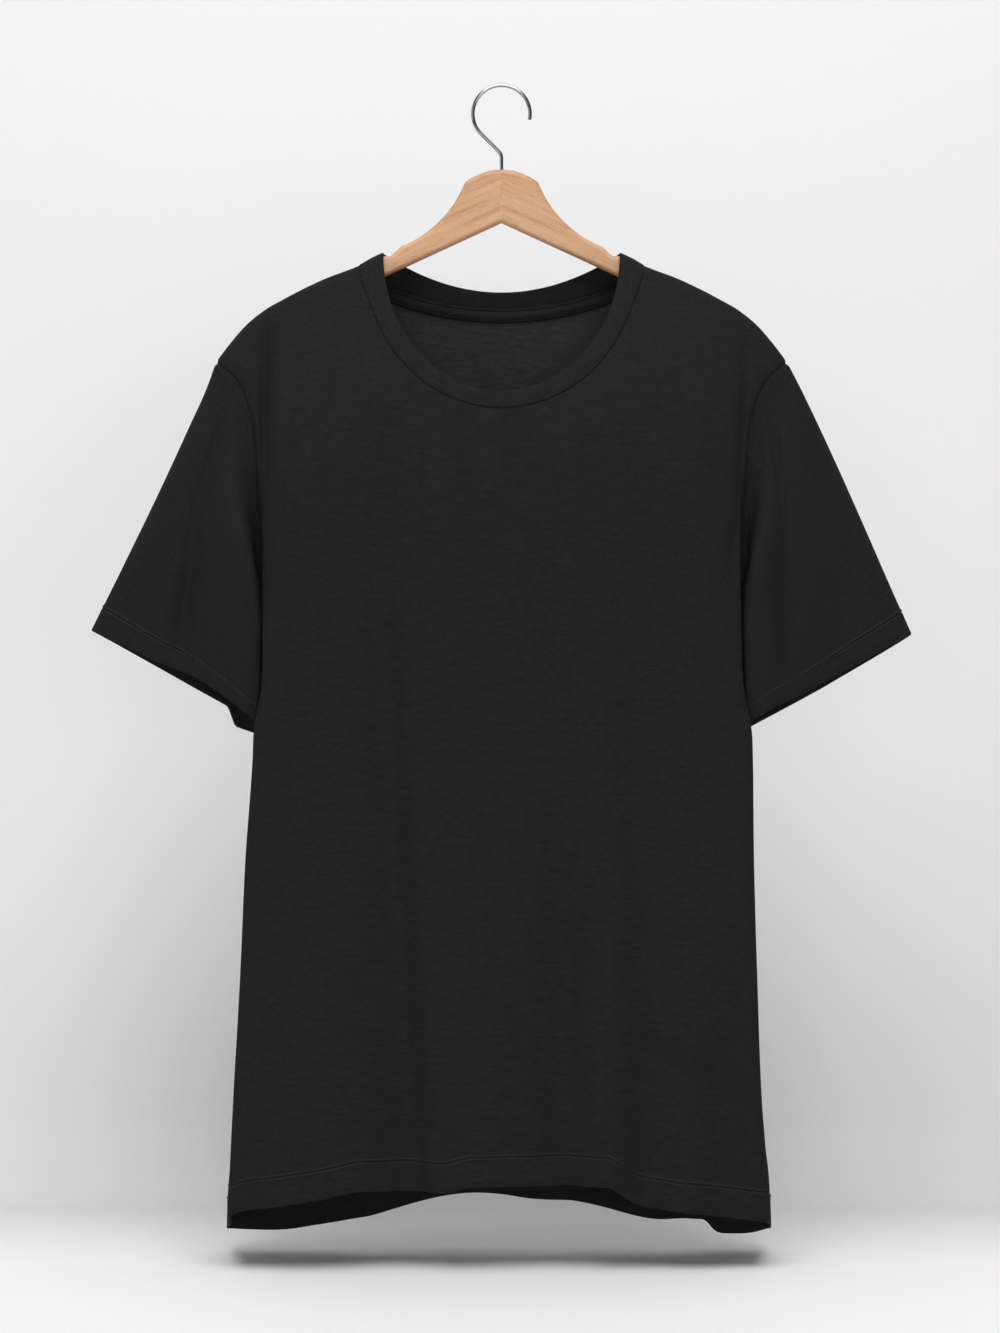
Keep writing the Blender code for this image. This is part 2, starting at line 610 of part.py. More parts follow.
def sleeve_section(along, side_x, shares):
    """A sleeve's outline at one place along it, at these shares of its way round."""
    rows = LEFT_SLEEVE if side_x < 0 else RIGHT_SLEEVE
    at = {name: float(read(rows, along, name)) for name in Sleeve._fields[1:]}
    outer = np.array([at["outer_x"] * side_x, 0, at["outer_z"]])
    under = np.array([at["under_x"] * side_x, 0, at["under_z"]])
    angle = np.linspace(0, 2 * math.pi, 400)
    line = (outer + under) / 2 + (outer - under) / 2 * np.cos(angle)[:, None]
    front = angle <= math.pi
    pinch = 1 + UNDER_PINCH * ease(1 - np.abs(np.cos(angle / 2)) * UNDER_REACH)
    round_it = np.abs(np.sin(angle))
    valley = SEAM_VALLEY * along / SEAM_VALLEY_AT * math.exp(1 - along / SEAM_VALLEY_AT)
    depth = np.where(front, valley - at["front"], at["back"] - valley) * round_it**pinch
    for part, folds, way in ((front, SLEEVE_FRONT_FOLDS, 1), (~front, SLEEVE_BACK_FOLDS, -1)):
        sink = fold_depth(line[:, 0], line[:, 2], folds) * round_it * ease(along / SLEEVE_FOLD_START)
        depth += np.where(part, sink * way, 0.0)
    line[:, 1] = depth
    cuff = CUFFS[side_x]
    to_fold = np.clip(angle / math.pi - 1, 0, 1)
    curl = cuff.curl * ease((cuff.start - to_fold) / cuff.run) * np.minimum(to_fold / cuff.start, 1)
    behind = cuff.back_dip + curl
    line[:, 2] += round_it * np.where(front, cuff.front_lift, -behind) * along**2
    run = lengths(line)
    return np.stack([np.interp(shares * run[-1], run, line[:, k]) for k in range(3)], axis=-1)


def sleeve(name, side_x, paint):
    hole = armhole(side_x)
    run = lengths(np.concatenate([hole, hole[:1]]))
    shares = run[:-1] / run[-1]
    hem = SLEEVE_HEM / SLEEVE_LENGTH
    alongs = [*SLEEVE_START_ROWS, *np.linspace(SLEEVE_START_ROWS[-1], 1 - hem, SLEEVE_ROWS - 1)[1:]]
    alongs += [1 - hem / 2, 1.0]
    first = sleeve_section(0.0, side_x, shares)
    rows = []
    for along in alongs:
        fade = (1 - min(along / ARMHOLE_REACH, 1.0)) ** 2
        rows.append(sleeve_section(along, side_x, shares) + (hole - first) * fade)
    grid = np.array(rows)
    grid[0] = pull(grid[0], grid[1], SLEEVE_GAP)
    quads = grid_quads(grid, closed=True)
    if side_x < 0:
        quads = quads[:, ::-1]
    inner = np.full(grid.shape[:2], JERSEY / 2)
    inner[-3:] += HEM_FOLD
    return wall(name, grid.reshape(-1, 3), quads, JERSEY / 2, inner.ravel(), paint)


def neck_rib(paint):
    front, behind = neck_angles(False), neck_angles(True)[-2:0:-1]
    seam = np.concatenate([neck_seam(front, False), neck_seam(behind, True)])
    edge = np.concatenate([rib_edge(front, False), rib_edge(behind, True)])
    seam = pull(seam, edge, SEAM_GAP)
    grid = np.array([seam + (edge - seam) * k / RIB_ROWS for k in range(RIB_ROWS + 1)])
    return wall("neck_rib", grid.reshape(-1, 3), grid_quads(grid, closed=True), RIB / 2, RIB / 2, paint)


def neck_tape(paint):
    """The tape over the back neck seam inside the shirt, on the back panel's first row."""
    panel = face_patch(True)
    end = len(BEND_STEPS) + 1
    seam, low = panel[0, end:-end], panel[1, end:-end]
    grid = np.array([pull(seam, low, TAPE_START), low])
    off = JERSEY / 2 + SEAM_GAP
    return wall("neck_tape", grid.reshape(-1, 3), grid_quads(grid), -off, off + TAPE_WALL, paint)


# ---------------------------------------------------------------- the hanger
def arc(centre, radius, start, end, steps):
    angles = np.linspace(start, end, steps)
    return [(centre[0] + radius * math.cos(a), centre[1] + radius * math.sin(a)) for a in angles]


def arm_outline():
    """The right arm from the mitre at the middle to its round end, as (x, z) points."""
    crown = (0.0, CROWN_TOP - CROWN_RADIUS)
    corner = math.asin(CROWN_HALF / CROWN_RADIUS)
    top = arc(crown, CROWN_RADIUS, math.pi / 2, math.pi / 2 - corner, 6)
    end_x, end_z = HOLLOW_END
    hollow_x = end_x + HOLLOW_RADIUS * math.sin(HOLLOW_SLOPE)
    hollow = (hollow_x, end_z + HOLLOW_RADIUS * math.cos(HOLLOW_SLOPE))
    start = math.atan2(top[-1][1] - hollow[1], top[-1][0] - hollow[0])
    top += arc(hollow, HOLLOW_RADIUS, start + 2 * math.pi, 1.5 * math.pi - HOLLOW_SLOPE, 10)[1:]
    for x in (0.094, 0.107, 0.125, 0.143, 0.158, 0.173, NOSE_X):
        top.append((x, float(ridge_z(x)) - ARM_DROP))
    slopes = top[-1][1] - top[-2][1], top[-1][0] - top[-2][0]
    top_lean, low_lean = math.atan2(-slopes[0], slopes[1]), math.atan(ARM_SLOPE)
    height = top[-1][1] - (APEX_Z - ARM_SLOPE * NOSE_X)
    wide = math.sin(top_lean) + math.sin(low_lean)
    radius = height / (math.cos(top_lean) + math.cos(low_lean) + ARM_SLOPE * wide)
    centre = (NOSE_X - radius * math.sin(top_lean), top[-1][1] - radius * math.cos(top_lean))
    nose = arc(centre, radius, math.pi / 2 - top_lean, -math.pi / 2 - low_lean, 9)
    return top + nose[1:] + [(0.0, APEX_Z)]


def hanger_arm(name, side_x, paint, bore):
    outline = [(max(x, GLUE_GAP / 2), z) for x, z in arm_outline()]
    mesh = bmesh.new()
    near = [mesh.verts.new((x * side_x, -WOOD_HALF, z)) for x, z in outline]
    far = [mesh.verts.new((x * side_x, WOOD_HALF, z)) for x, z in outline]
    mesh.faces.new(near)
    mesh.faces.new(far[::-1])
    for i in range(len(outline)):
        j = (i + 1) % len(outline)
        mesh.faces.new((near[i], far[i], far[j], near[j]))
    bmesh.ops.recalc_face_normals(mesh, faces=mesh.faces)
    mitre = GLUE_GAP / 2 + 1e-6
    rounded = [
        e for e in mesh.edges
        if abs(e.verts[0].co.y - e.verts[1].co.y) < 1e-6 and not all(abs(v.co.x) < mitre for v in e.verts)
    ]
    bmesh.ops.bevel(mesh, geom=rounded, offset=WOOD_ROUND, segments=3, profile=0.5, affect="EDGES")
    made = finish_mesh(name, mesh, paint)
    cut = made.modifiers.new("hook_bore", "BOOLEAN")
    cut.object = bore
    cut.operation = "DIFFERENCE"
    cut.solver = "EXACT"
    return made


def hook_bore():
    """The cutter for the hole that the hook's stem is set in."""
    radius = WIRE + SEAM_GAP
    low = HOOK_FOOT - SEAM_GAP
    mesh = bmesh.new()
    bmesh.ops.create_cone(
        mesh, cap_ends=True, segments=12, radius1=radius, radius2=radius, depth=2 * BORE_DEPTH
    )
    bmesh.ops.translate(mesh, verts=mesh.verts, vec=(0, 0, low + BORE_DEPTH))
    data = bpy.data.meshes.new("hook_bore_cutter")
    mesh.to_mesh(data)
    mesh.free()
    cutter = bpy.data.objects.new("hook_bore_cutter", data)
    cutter.hide_render = True
    cutter.display_type = "WIRE"
    bpy.context.scene.collection.objects.link(cutter)
    return cutter


def hook_line():
    """The hook's centre line, from its foot in the wood to its free end."""
    centre = (0.0, WIRE - HOOK_RADIUS)
    lean = math.radians(45)
    leave = math.pi + lean
    join = (HOOK_RADIUS * math.cos(leave), centre[1] + HOOK_RADIUS * math.sin(leave))
    knee_z = join[1] + join[0]
    stem_top = knee_z - HOOK_BEND * math.tan(lean / 2)
    stem = [(0.0, HOOK_FOOT + (stem_top - HOOK_FOOT) * k / 6) for k in range(7)]
    knee = arc((-HOOK_BEND, stem_top), HOOK_BEND, 0, lean, 5)
    bow = arc(centre, HOOK_RADIUS, leave, HOOK_FREE_END, 30)
    return stem + knee[1:] + bow


def hook(paint):
    line = hook_line()
    data = bpy.data.curves.new("hanger_hook", "CURVE")
    data.dimensions = "3D"
    data.bevel_depth = WIRE
    data.bevel_resolution = 3
    data.use_fill_caps = True
    spline = data.splines.new("POLY")
    spline.points.add(len(line) - 1)
    for point, (x, z) in zip(spline.points, line):
        point.co = (x, 0.0, z, 1.0)
    data.materials.append(paint)
    made = bpy.data.objects.new("hanger_hook", data)
    bpy.context.scene.collection.objects.link(made)
    return made


def main():
    for old in list(bpy.data.objects):
        bpy.data.objects.remove(old)
    jersey = material("black_jersey", BLACK_JERSEY, 0.95)
    rib = material("black_rib", BLACK_RIB, 0.95)
    wood = material("beech_wood", BEECH, 0.55)
    steel = material("plated_steel", STEEL, 0.25, 1.0)
    body_panel("front_panel", False, jersey)
    body_panel("back_panel", True, jersey)
    sleeve("sleeve_left", -1, jersey)
    sleeve("sleeve_right", 1, jersey)
    neck_rib(rib)
    neck_tape(jersey)
    bore = hook_bore()
    hanger_arm("hanger_arm_left", -1, wood, bore)
    hanger_arm("hanger_arm_right", 1, wood, bore)
    hook(steel)


main()
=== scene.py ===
"""Looks of the crew neck T-shirt on its wooden hanger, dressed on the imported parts.

Metres, in the parts' own frame: +Z up, the shirt's front faces -Y, the origin is the inner top of the hook.
"""

import math
from collections import namedtuple

import bmesh
import bpy
import numpy as np
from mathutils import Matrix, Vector


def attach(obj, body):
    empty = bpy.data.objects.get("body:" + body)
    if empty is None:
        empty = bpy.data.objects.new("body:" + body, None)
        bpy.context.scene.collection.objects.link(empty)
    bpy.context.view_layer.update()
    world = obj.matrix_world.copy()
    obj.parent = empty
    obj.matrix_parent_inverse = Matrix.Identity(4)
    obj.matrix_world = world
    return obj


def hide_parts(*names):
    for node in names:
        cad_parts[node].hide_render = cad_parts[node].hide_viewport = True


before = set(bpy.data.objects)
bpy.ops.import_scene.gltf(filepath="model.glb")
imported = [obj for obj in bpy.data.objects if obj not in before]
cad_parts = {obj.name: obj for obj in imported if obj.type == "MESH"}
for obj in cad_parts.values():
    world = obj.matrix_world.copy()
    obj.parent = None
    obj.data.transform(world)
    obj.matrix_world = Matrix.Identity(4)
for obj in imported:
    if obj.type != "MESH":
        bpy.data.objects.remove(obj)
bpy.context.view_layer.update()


# ================================================================ hanger arms
# Two flat beech arms, sawn to a curve, their edges rounded on a router. They are glued at a mitre in the
# middle and finished with a clear satin varnish, so the grain meets there in a chevron.

Ridge = namedtuple("Ridge", "x z")
RIDGE = [
    # the shoulder line that the arms lie under, seen from the front
    Ridge(0.000, -0.1325),
    Ridge(0.0945, -0.1325),
    Ridge(0.107, -0.1395),
    Ridge(0.143, -0.1540),
    Ridge(0.173, -0.1690),
    Ridge(0.190, -0.1790),
    Ridge(0.204, -0.1910),
    Ridge(0.2135, -0.2020),
    Ridge(0.2265, -0.2190),
]

WOOD_HALF = 0.0055
WOOD_ROUND = 0.0038
ARM_SLOPE = 0.46
NOSE_X = 0.1800
CROWN_TOP = -0.0658
CROWN_HALF = 0.0290
CROWN_RADIUS = 0.0470
HOLLOW_RADIUS = 0.0920
HOLLOW_END = (0.080, -0.1270)
HOLLOW_SLOPE = math.radians(22)
APEX_Z = -0.1080
ARM_DROP = 0.0019
GLUE_LINE = 0.00003
SHOULDER_START = 0.088  # x where an arm starts to follow the shoulder line
CROWN_STEPS, HOLLOW_STEPS, SHOULDER_STEPS, NOSE_STEPS = 14, 26, 16, 17
ROUND_STEPS = 7
SHARP_EDGE = math.radians(35)
BOARD_SHIFT = 0.9  # moves each arm to its own part of the board's grain

BEECH = (0.500, 0.275, 0.145, 1)
BEECH_LATE_WOOD = (0.330, 0.150, 0.064, 1)
BEECH_PALE = (0.590, 0.350, 0.200, 1)


def column(rows, name):
    return np.array([getattr(row, name) for row in rows], float)


def smooth(at, places, values):
    """A smooth curve through a table's points, which never swings past them."""
    if places[0] > places[-1]:
        places, values = places[::-1], values[::-1]
    step = np.diff(places)
    slope = np.diff(values) / step
    tangent = np.concatenate([slope[:1], slope])
    tangent[1:-1] = (slope[:-1] * step[1:] + slope[1:] * step[:-1]) / (step[1:] + step[:-1])
    tangent[1:-1][slope[:-1] * slope[1:] <= 0] = 0.0
    at = np.clip(at, places[0], places[-1])
    i = np.clip(np.searchsorted(places, at) - 1, 0, len(step) - 1)
    t = (at - places[i]) / step[i]
    return (
        values[i] * (1 + 2 * t) * (1 - t) ** 2
        + tangent[i] * step[i] * t * (1 - t) ** 2
        + values[i + 1] * t * t * (3 - 2 * t)
        + tangent[i + 1] * step[i] * t * t * (t - 1)
    )


def read(rows, at, name):
    """A table's value at a place given by its first column."""
    return smooth(at, column(rows, rows[0]._fields[0]), column(rows, name))


def ridge_z(x):
    return read(RIDGE, np.abs(x), "z")


def arc(centre, radius, start, end, steps):
    angles = np.linspace(start, end, steps)
    return [(centre[0] + radius * math.cos(a), centre[1] + radius * math.sin(a)) for a in angles]


def arm_outline():
    """The right arm from the mitre at the middle to its round end, as (x, z) points."""
    crown = (0.0, CROWN_TOP - CROWN_RADIUS)
    corner = math.asin(CROWN_HALF / CROWN_RADIUS)
    top = arc(crown, CROWN_RADIUS, math.pi / 2, math.pi / 2 - corner, CROWN_STEPS)
    end_x, end_z = HOLLOW_END
    hollow_x = end_x + HOLLOW_RADIUS * math.sin(HOLLOW_SLOPE)
    hollow = (hollow_x, end_z + HOLLOW_RADIUS * math.cos(HOLLOW_SLOPE))
    start = math.atan2(top[-1][1] - hollow[1], top[-1][0] - hollow[0])
    top += arc(hollow, HOLLOW_RADIUS, start + 2 * math.pi, 1.5 * math.pi - HOLLOW_SLOPE, HOLLOW_STEPS)[1:]
    for x in np.linspace(SHOULDER_START, NOSE_X, SHOULDER_STEPS):
        top.append((float(x), float(ridge_z(x)) - ARM_DROP))
    drop, run = top[-2][1] - top[-1][1], top[-1][0] - top[-2][0]
    top_lean, low_lean = math.atan2(drop, run), math.atan(ARM_SLOPE)
    height = top[-1][1] - (APEX_Z - ARM_SLOPE * NOSE_X)
    wide = math.sin(top_lean) + math.sin(low_lean)
    radius = height / (math.cos(top_lean) + math.cos(low_lean) + ARM_SLOPE * wide)
    centre = (NOSE_X - radius * math.sin(top_lean), top[-1][1] - radius * math.cos(top_lean))
    nose = arc(centre, radius, math.pi / 2 - top_lean, -math.pi / 2 - low_lean, NOSE_STEPS)
    return top + nose[1:] + [(0.0, APEX_Z)]


def link(obj):
    bpy.context.scene.collection.objects.link(obj)
    return obj


def give_coordinates(mesh, name, values):
    """Stores a place on the material for each point, for its grain or knit to follow."""
    made = mesh.attributes.new(name, "FLOAT_VECTOR", "POINT")
    made.data.foreach_set("vector", np.asarray(values, np.float32).ravel())


def node(tree, kind, **values):
    """A shader node with its settings, and with sockets set by name."""
    made = tree.nodes.new(kind)
    for key, value in values.items():
        if hasattr(made, key):
            setattr(made, key, value)
        else:
            made.inputs[key.replace("_", " ")].default_value = value
    return made


def join(tree, source, target, out=0, into=0):
    tree.links.new(source.outputs[out], target.inputs[into])
    return target


def ramp(tree, stops):
    made = tree.nodes.new("ShaderNodeValToRGB")
    band = made.color_ramp
    band.elements[0].position, band.elements[0].color = stops[0]
    band.elements[1].position, band.elements[1].color = stops[-1]
    for place, colour in stops[1:-1]:
        band.elements.new(place).color = colour
    return made


def stretched_noise(tree, source, scale, detail, rough, out=0):
    """Noise drawn out along the grain or the knit: the scale is cells a metre each way."""
    spread = join(tree, source, node(tree, "ShaderNodeMapping", vector_type="POINT", Scale=scale), out)
    return join(tree, spread, node(tree, "ShaderNodeTexNoise", Scale=1.0, Detail=detail, Roughness=rough))


def roughen(tree, height, shader, strength, distance, out=0):
    """Raises the surface by a height, as a bump of this strength and depth."""
    bump = node(tree, "ShaderNodeBump", Strength=strength, Distance=distance)
    join(tree, join(tree, height, bump, out, "Height"), shader, 0, "Normal")


def new_paint(name):
    """A material, its tree and its surface shader."""
    paint = bpy.data.materials.new(name)
    paint.use_nodes = True
    return paint, paint.node_tree, paint.node_tree.nodes["Principled BSDF"]


def beech_varnish():
    paint, tree, shader = new_paint("beech_satin_varnish")
    grain = node(tree, "ShaderNodeAttribute", attribute_name="grain")
    bands = stretched_noise(tree, grain, (9, 210, 90), 5, 0.62)
    rays = stretched_noise(tree, grain, (160, 900, 400), 2, 0.5)
    wood = ramp(tree, [(0.30, BEECH_LATE_WOOD), (0.48, BEECH), (0.68, BEECH_PALE)])
    flecks = ramp(tree, [(0.56, (1, 1, 1, 1)), (0.72, (0.66, 0.56, 0.48, 1))])
    mixed = node(tree, "ShaderNodeMix", data_type="RGBA", blend_type="MULTIPLY")
    mixed.inputs[0].default_value = 0.90
    join(tree, join(tree, bands, wood, 1), mixed, 0, 6)
    join(tree, join(tree, rays, flecks, 1), mixed, 0, 7)
    join(tree, mixed, shader, 2, shader.inputs.find("Base Color"))
    roughen(tree, rays, shader, 0.25, 0.0002, 1)
    shader.inputs["Roughness"].default_value = 0.46
    shader.inputs["Specular IOR Level"].default_value = 0.40
    shader.inputs["Coat Weight"].default_value = 0.18
    shader.inputs["Coat Roughness"].default_value = 0.32
    return paint


def wood_arm(name, side_x, paint, cad_node):
    outline = [(max(x, GLUE_LINE), z) for x, z in arm_outline()]
    mesh = bmesh.new()
    near = [mesh.verts.new((x * side_x, -WOOD_HALF, z)) for x, z in outline]
    far = [mesh.verts.new((x * side_x, WOOD_HALF, z)) for x, z in outline]
    mesh.faces.new(near)
    mesh.faces.new(far[::-1])
    for i in range(len(outline)):
        j = (i + 1) % len(outline)
        mesh.faces.new((near[i], far[i], far[j], near[j]))
    bmesh.ops.recalc_face_normals(mesh, faces=mesh.faces)
    rounded = [
        e for e in mesh.edges
        if abs(e.verts[0].co.y - e.verts[1].co.y) < 1e-6
        and not all(abs(v.co.x) < GLUE_LINE * 1.1 for v in e.verts)
    ]
    bmesh.ops.bevel(
        mesh, geom=rounded, offset=WOOD_ROUND, segments=ROUND_STEPS, profile=0.5, affect="EDGES")
    data = bpy.data.meshes.new(name)
    mesh.to_mesh(data)
    mesh.free()
    lean = -math.atan(ARM_SLOPE)
    places = np.array([v.co[:] for v in data.vertices])
    along = abs(places[:, 0]) * math.cos(lean) + places[:, 2] * math.sin(lean)
    across = -abs(places[:, 0]) * math.sin(lean) + places[:, 2] * math.cos(lean)
    give_coordinates(data, "grain", np.stack([along + BOARD_SHIFT * side_x, across, places[:, 1]], axis=1))
    data.shade_smooth()
    data.set_sharp_from_angle(angle=SHARP_EDGE)
    data.materials.append(paint)
    arm = link(bpy.data.objects.new(name, data))
    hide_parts(cad_node)
    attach(arm, "root")


beech = beech_varnish()
wood_arm("wood_arm_left", -1, beech, "hanger_arm_left")
wood_arm("wood_arm_right", 1, beech, "hanger_arm_right")


# ================================================================ wire hook
# One length of polished plated steel wire, bent to a round bow with an offset neck, and pressed into a hole
# in the crown where the arms meet.

WIRE = 0.0015
HOOK_RADIUS = 0.0227
HOOK_FREE_END = math.radians(-12)
HOOK_BEND = 0.0070
HOOK_FOOT = -0.0900
NECK_LEAN = math.radians(45)
STEM_STEPS, KNEE_STEPS, BOW_STEPS = 8, 10, 72

STEEL = (0.36, 0.36, 0.37, 1)


def polished_steel():
    paint, tree, shader = new_paint("polished_steel_wire")
    shader.inputs["Base Color"].default_value = STEEL
    shader.inputs["Metallic"].default_value = 1.0
    place = node(tree, "ShaderNodeTexCoord")
    drawn = stretched_noise(tree, place, (900, 900, 260), 2, 0.6, "Object")
    sheen = ramp(tree, [(0.35, (0.08, 0.08, 0.08, 1)), (0.75, (0.18, 0.18, 0.18, 1))])
    join(tree, join(tree, drawn, sheen), shader, 0, "Roughness")
    return paint


def hook_line():
    """The hook's centre line, from its foot in the wood to its free end."""
    centre = (0.0, WIRE - HOOK_RADIUS)
    leave = math.pi + NECK_LEAN
    join_z = centre[1] + HOOK_RADIUS * math.sin(leave)
    knee_z = join_z + HOOK_RADIUS * math.cos(leave)
    stem_top = knee_z - HOOK_BEND * math.tan(NECK_LEAN / 2)
    rise = stem_top - HOOK_FOOT
    stem = [(0.0, HOOK_FOOT + rise * k / STEM_STEPS) for k in range(STEM_STEPS + 1)]
    knee = arc((-HOOK_BEND, stem_top), HOOK_BEND, 0, NECK_LEAN, KNEE_STEPS)
    return stem + knee[1:] + arc(centre, HOOK_RADIUS, leave, HOOK_FREE_END, BOW_STEPS)


line = hook_line()
wire = bpy.data.curves.new("wire_hook", "CURVE")
wire.dimensions = "3D"
wire.bevel_depth = WIRE
wire.bevel_resolution = 6
wire.use_fill_caps = True
spline = wire.splines.new("POLY")
spline.points.add(len(line) - 1)
for point, (x, z) in zip(spline.points, line):
    point.co = (x, 0.0, z, 1.0)
spline.use_smooth = True
wire.materials.append(polished_steel())
wire_hook = link(bpy.data.objects.new("wire_hook", wire))
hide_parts("hanger_hook")
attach(wire_hook, "root")


# ================================================================ body panels
# A front and a back of black heather jersey, cut with the wales running down. They are sewn at the shoulders
# and sides, with the edges turned in, and hang from the hanger's arms in long soft folds. The bottom edge is
# turned up once and cover-stitched.

JERSEY = 0.0011
SEAM_GAP = 0.00015
SEAM_SINK = 0.0017
SEAM_SOFT = 0.0019
TURNED_IN = 0.0011
BODY_HEM = 0.024
HEM_INSIDE = 0.0014
HEM_BAND = 0.00035
HEM_WELT = 0.00050
HEM_GROOVE = 0.00040
HEM_FOLD_OUT = 0.45  # how far the fold stands out past the edge, in shares of the hidden layer's depth
WELT_HALF = 0.0011
GROOVE_BELOW, GROOVE_HALF = 0.0018, 0.0009
BAND_END, BAND_FADE = 0.0005, 0.0012
PUCKER_LONG, PUCKER_HIGH = 0.0085, 0.006
WAVE_LONG, WAVE_HIGH, WAVE_DEEP, WAVE_HALF = 0.021, 0.030, 0.00035, 0.012
WELT_PUCKER, GROOVE_PUCKER = 0.6, 0.8
STITCH_STEPS = (
    -0.0062, -0.0045, -0.0034, -0.0027, -0.0021, -0.0015, -0.0010, -0.0005, 0.0,
    0.0005, 0.0010, 0.0016, 0.0024, 0.0036, 0.0055, 0.0085,
)

NECK_HALF = 0.1070
NECK_TOP = -0.1416
NECK_FRONT_DROP = 0.1164
NECK_BACK_DROP = 0.0314
NECK_FLARE = 0.0055
FLARE_FADE = 40
NECK_BACK_BOW = 1.3
RIDGE_RADIUS = 0.0085
RIDGE_REACH = 0.220
BEND_DEPTH = 0.020
FACE_BOW = 0.52
CORNER_BEND = 0.012
SIDE_BOW = 0.42
SHOULDER_Z = -0.219
HEM_LEVEL = -0.840
SCOOP_Z = -0.360
ARMPIT_Z = -0.420
ARMPIT_X = 0.160
FACE_SHARE = 0.75
FACE_WIDTH = 0.200
SIDE_WIDTH = 0.060
BACK_FLARE = 0.0065
FLARE_FROM = -0.780
FLARE_RUN = 0.100

FACE_COLUMNS = 80
SIDE_COLUMNS = 14
LOW_ROWS = 78
HIGH_ROWS = 56
ARMHOLE_ROWS = 42
ROWS_CLOSE_UP, ROWS_OPEN_OUT = 1.15, 1.25  # rows lie closer together at the neck and at the rim
SIDE_CLOSE_UP = 1.5  # columns lie closer together at the armhole
CALM_EDGE, CALM_NECK = 0.10, 0.25  # share, and part of the neck's size, over which the ground calms to a seam
HIGHEST, LOWEST_ABOVE = -0.100, -0.480  # heights between which the points above the armpit lie
HALVINGS = 36
FRONT_SEED, BACK_SEED, FRONT_HEM_SEED, BACK_HEM_SEED = 20, 40, 80, 90
BEND_STEPS = (0.0, 0.0016, 0.0033, 0.0050, 0.0066, 0.0083, 0.0100, 0.0128, 0.0155)

Level = namedtuple("Level", "z front back corner_x corner turn")
LEVELS = [
    # height, depth at the middle front and back, the corner fold's x and depth, the cloth's heading there
    Level(-0.100, 0.054, 0.050, 0.186, 0.046, 30),
    Level(-0.219, 0.054, 0.050, 0.188, 0.046, 32),
    Level(-0.260, 0.054, 0.050, 0.1890, 0.046, 55),
    Level(-0.300, 0.054, 0.050, 0.1875, 0.045, 80),
    Level(-0.360, 0.055, 0.051, 0.1865, 0.044, 95),
    Level(-0.420, 0.056, 0.052, 0.1868, 0.043, 112),
    Level(-0.480, 0.0565, 0.0525, 0.1885, 0.043, 112),
    Level(-0.513, 0.057, 0.053, 0.1942, 0.043, 112),
    Level(-0.530, 0.057, 0.053, 0.1948, 0.043, 111),
    Level(-0.614, 0.058, 0.054, 0.1983, 0.044, 98),
    Level(-0.701, 0.059, 0.055, 0.2015, 0.045, 90),
    Level(-0.788, 0.060, 0.056, 0.2055, 0.046, 90),
    Level(-0.870, 0.061, 0.057, 0.2105, 0.047, 90),
    Level(-0.930, 0.062, 0.058, 0.2125, 0.047, 90),
]

Sway = namedtuple("Sway", "z x")
SWAYS = [
    # how far the hanging body leans to one side
    Sway(-0.400, 0.0), Sway(-0.520, 0.0010), Sway(-0.614, -0.0015), Sway(-0.701, -0.0022),
    Sway(-0.788, -0.0030), Sway(-0.870, -0.0020), Sway(-0.930, -0.0020),
]

Side = namedtuple("Side", "z x depth")
ARMHOLE = [
    # the armhole's line down to SCOOP_Z
    Side(-0.100, 0.2300, 0.040),
    Side(-0.219, 0.2265, 0.040),
    Side(-0.232, 0.2115, 0.038),
    Side(-0.260, 0.1985, 0.032),
    Side(-0.300, 0.1930, 0.027),
    Side(-0.360, 0.1900, 0.022),
]
SIDE_SEAM = [
    # the side seam is tucked in below the arm and runs out to the hem
    Side(-0.420, 0.1600, 0.0),
    Side(-0.430, 0.1520, 0.0),
    Side(-0.450, 0.1475, 0.0),
    Side(-0.500, 0.1470, 0.0),
    Side(-0.560, 0.1580, 0.0),
    Side(-0.660, 0.1820, 0.0),
    Side(-0.780, 0.2000, 0.0),
    Side(-0.900, 0.2135, 0.0),
    Side(-0.930, 0.2150, 0.0),
]

Hem = namedtuple("Hem", "place z")
HEM_SIDE = 0.060
FRONT_HEM = [
    # a hem's height by its place: x on the face, then on round the side to the side seam
    Hem(-0.271, -0.9000), Hem(-0.211, -0.8895), Hem(-0.203, -0.8854), Hem(-0.175, -0.8799),
    Hem(-0.136, -0.8730), Hem(-0.106, -0.8675), Hem(-0.044, -0.8680), Hem(-0.020, -0.8632),
    Hem(0.084, -0.8632), Hem(0.093, -0.8685), Hem(0.108, -0.8785), Hem(0.122, -0.8815),
    Hem(0.158, -0.8862), Hem(0.211, -0.8938), Hem(0.271, -0.9005),
]
BACK_HEM = [
    Hem(-0.271, -0.9000), Hem(-0.211, -0.9125), Hem(-0.176, -0.9145), Hem(-0.142, -0.9104),
    Hem(-0.111, -0.9042), Hem(-0.080, -0.8966), Hem(-0.043, -0.8880), Hem(-0.015, -0.8856),
    Hem(0.025, -0.8894), Hem(0.053, -0.8900), Hem(0.085, -0.8977), Hem(0.115, -0.9042),
    Hem(0.153, -0.9058), Hem(0.164, -0.9080), Hem(0.170, -0.9151), Hem(0.180, -0.9175),
    Hem(0.202, -0.9155), Hem(0.211, -0.9125), Hem(0.271, -0.9005),
]

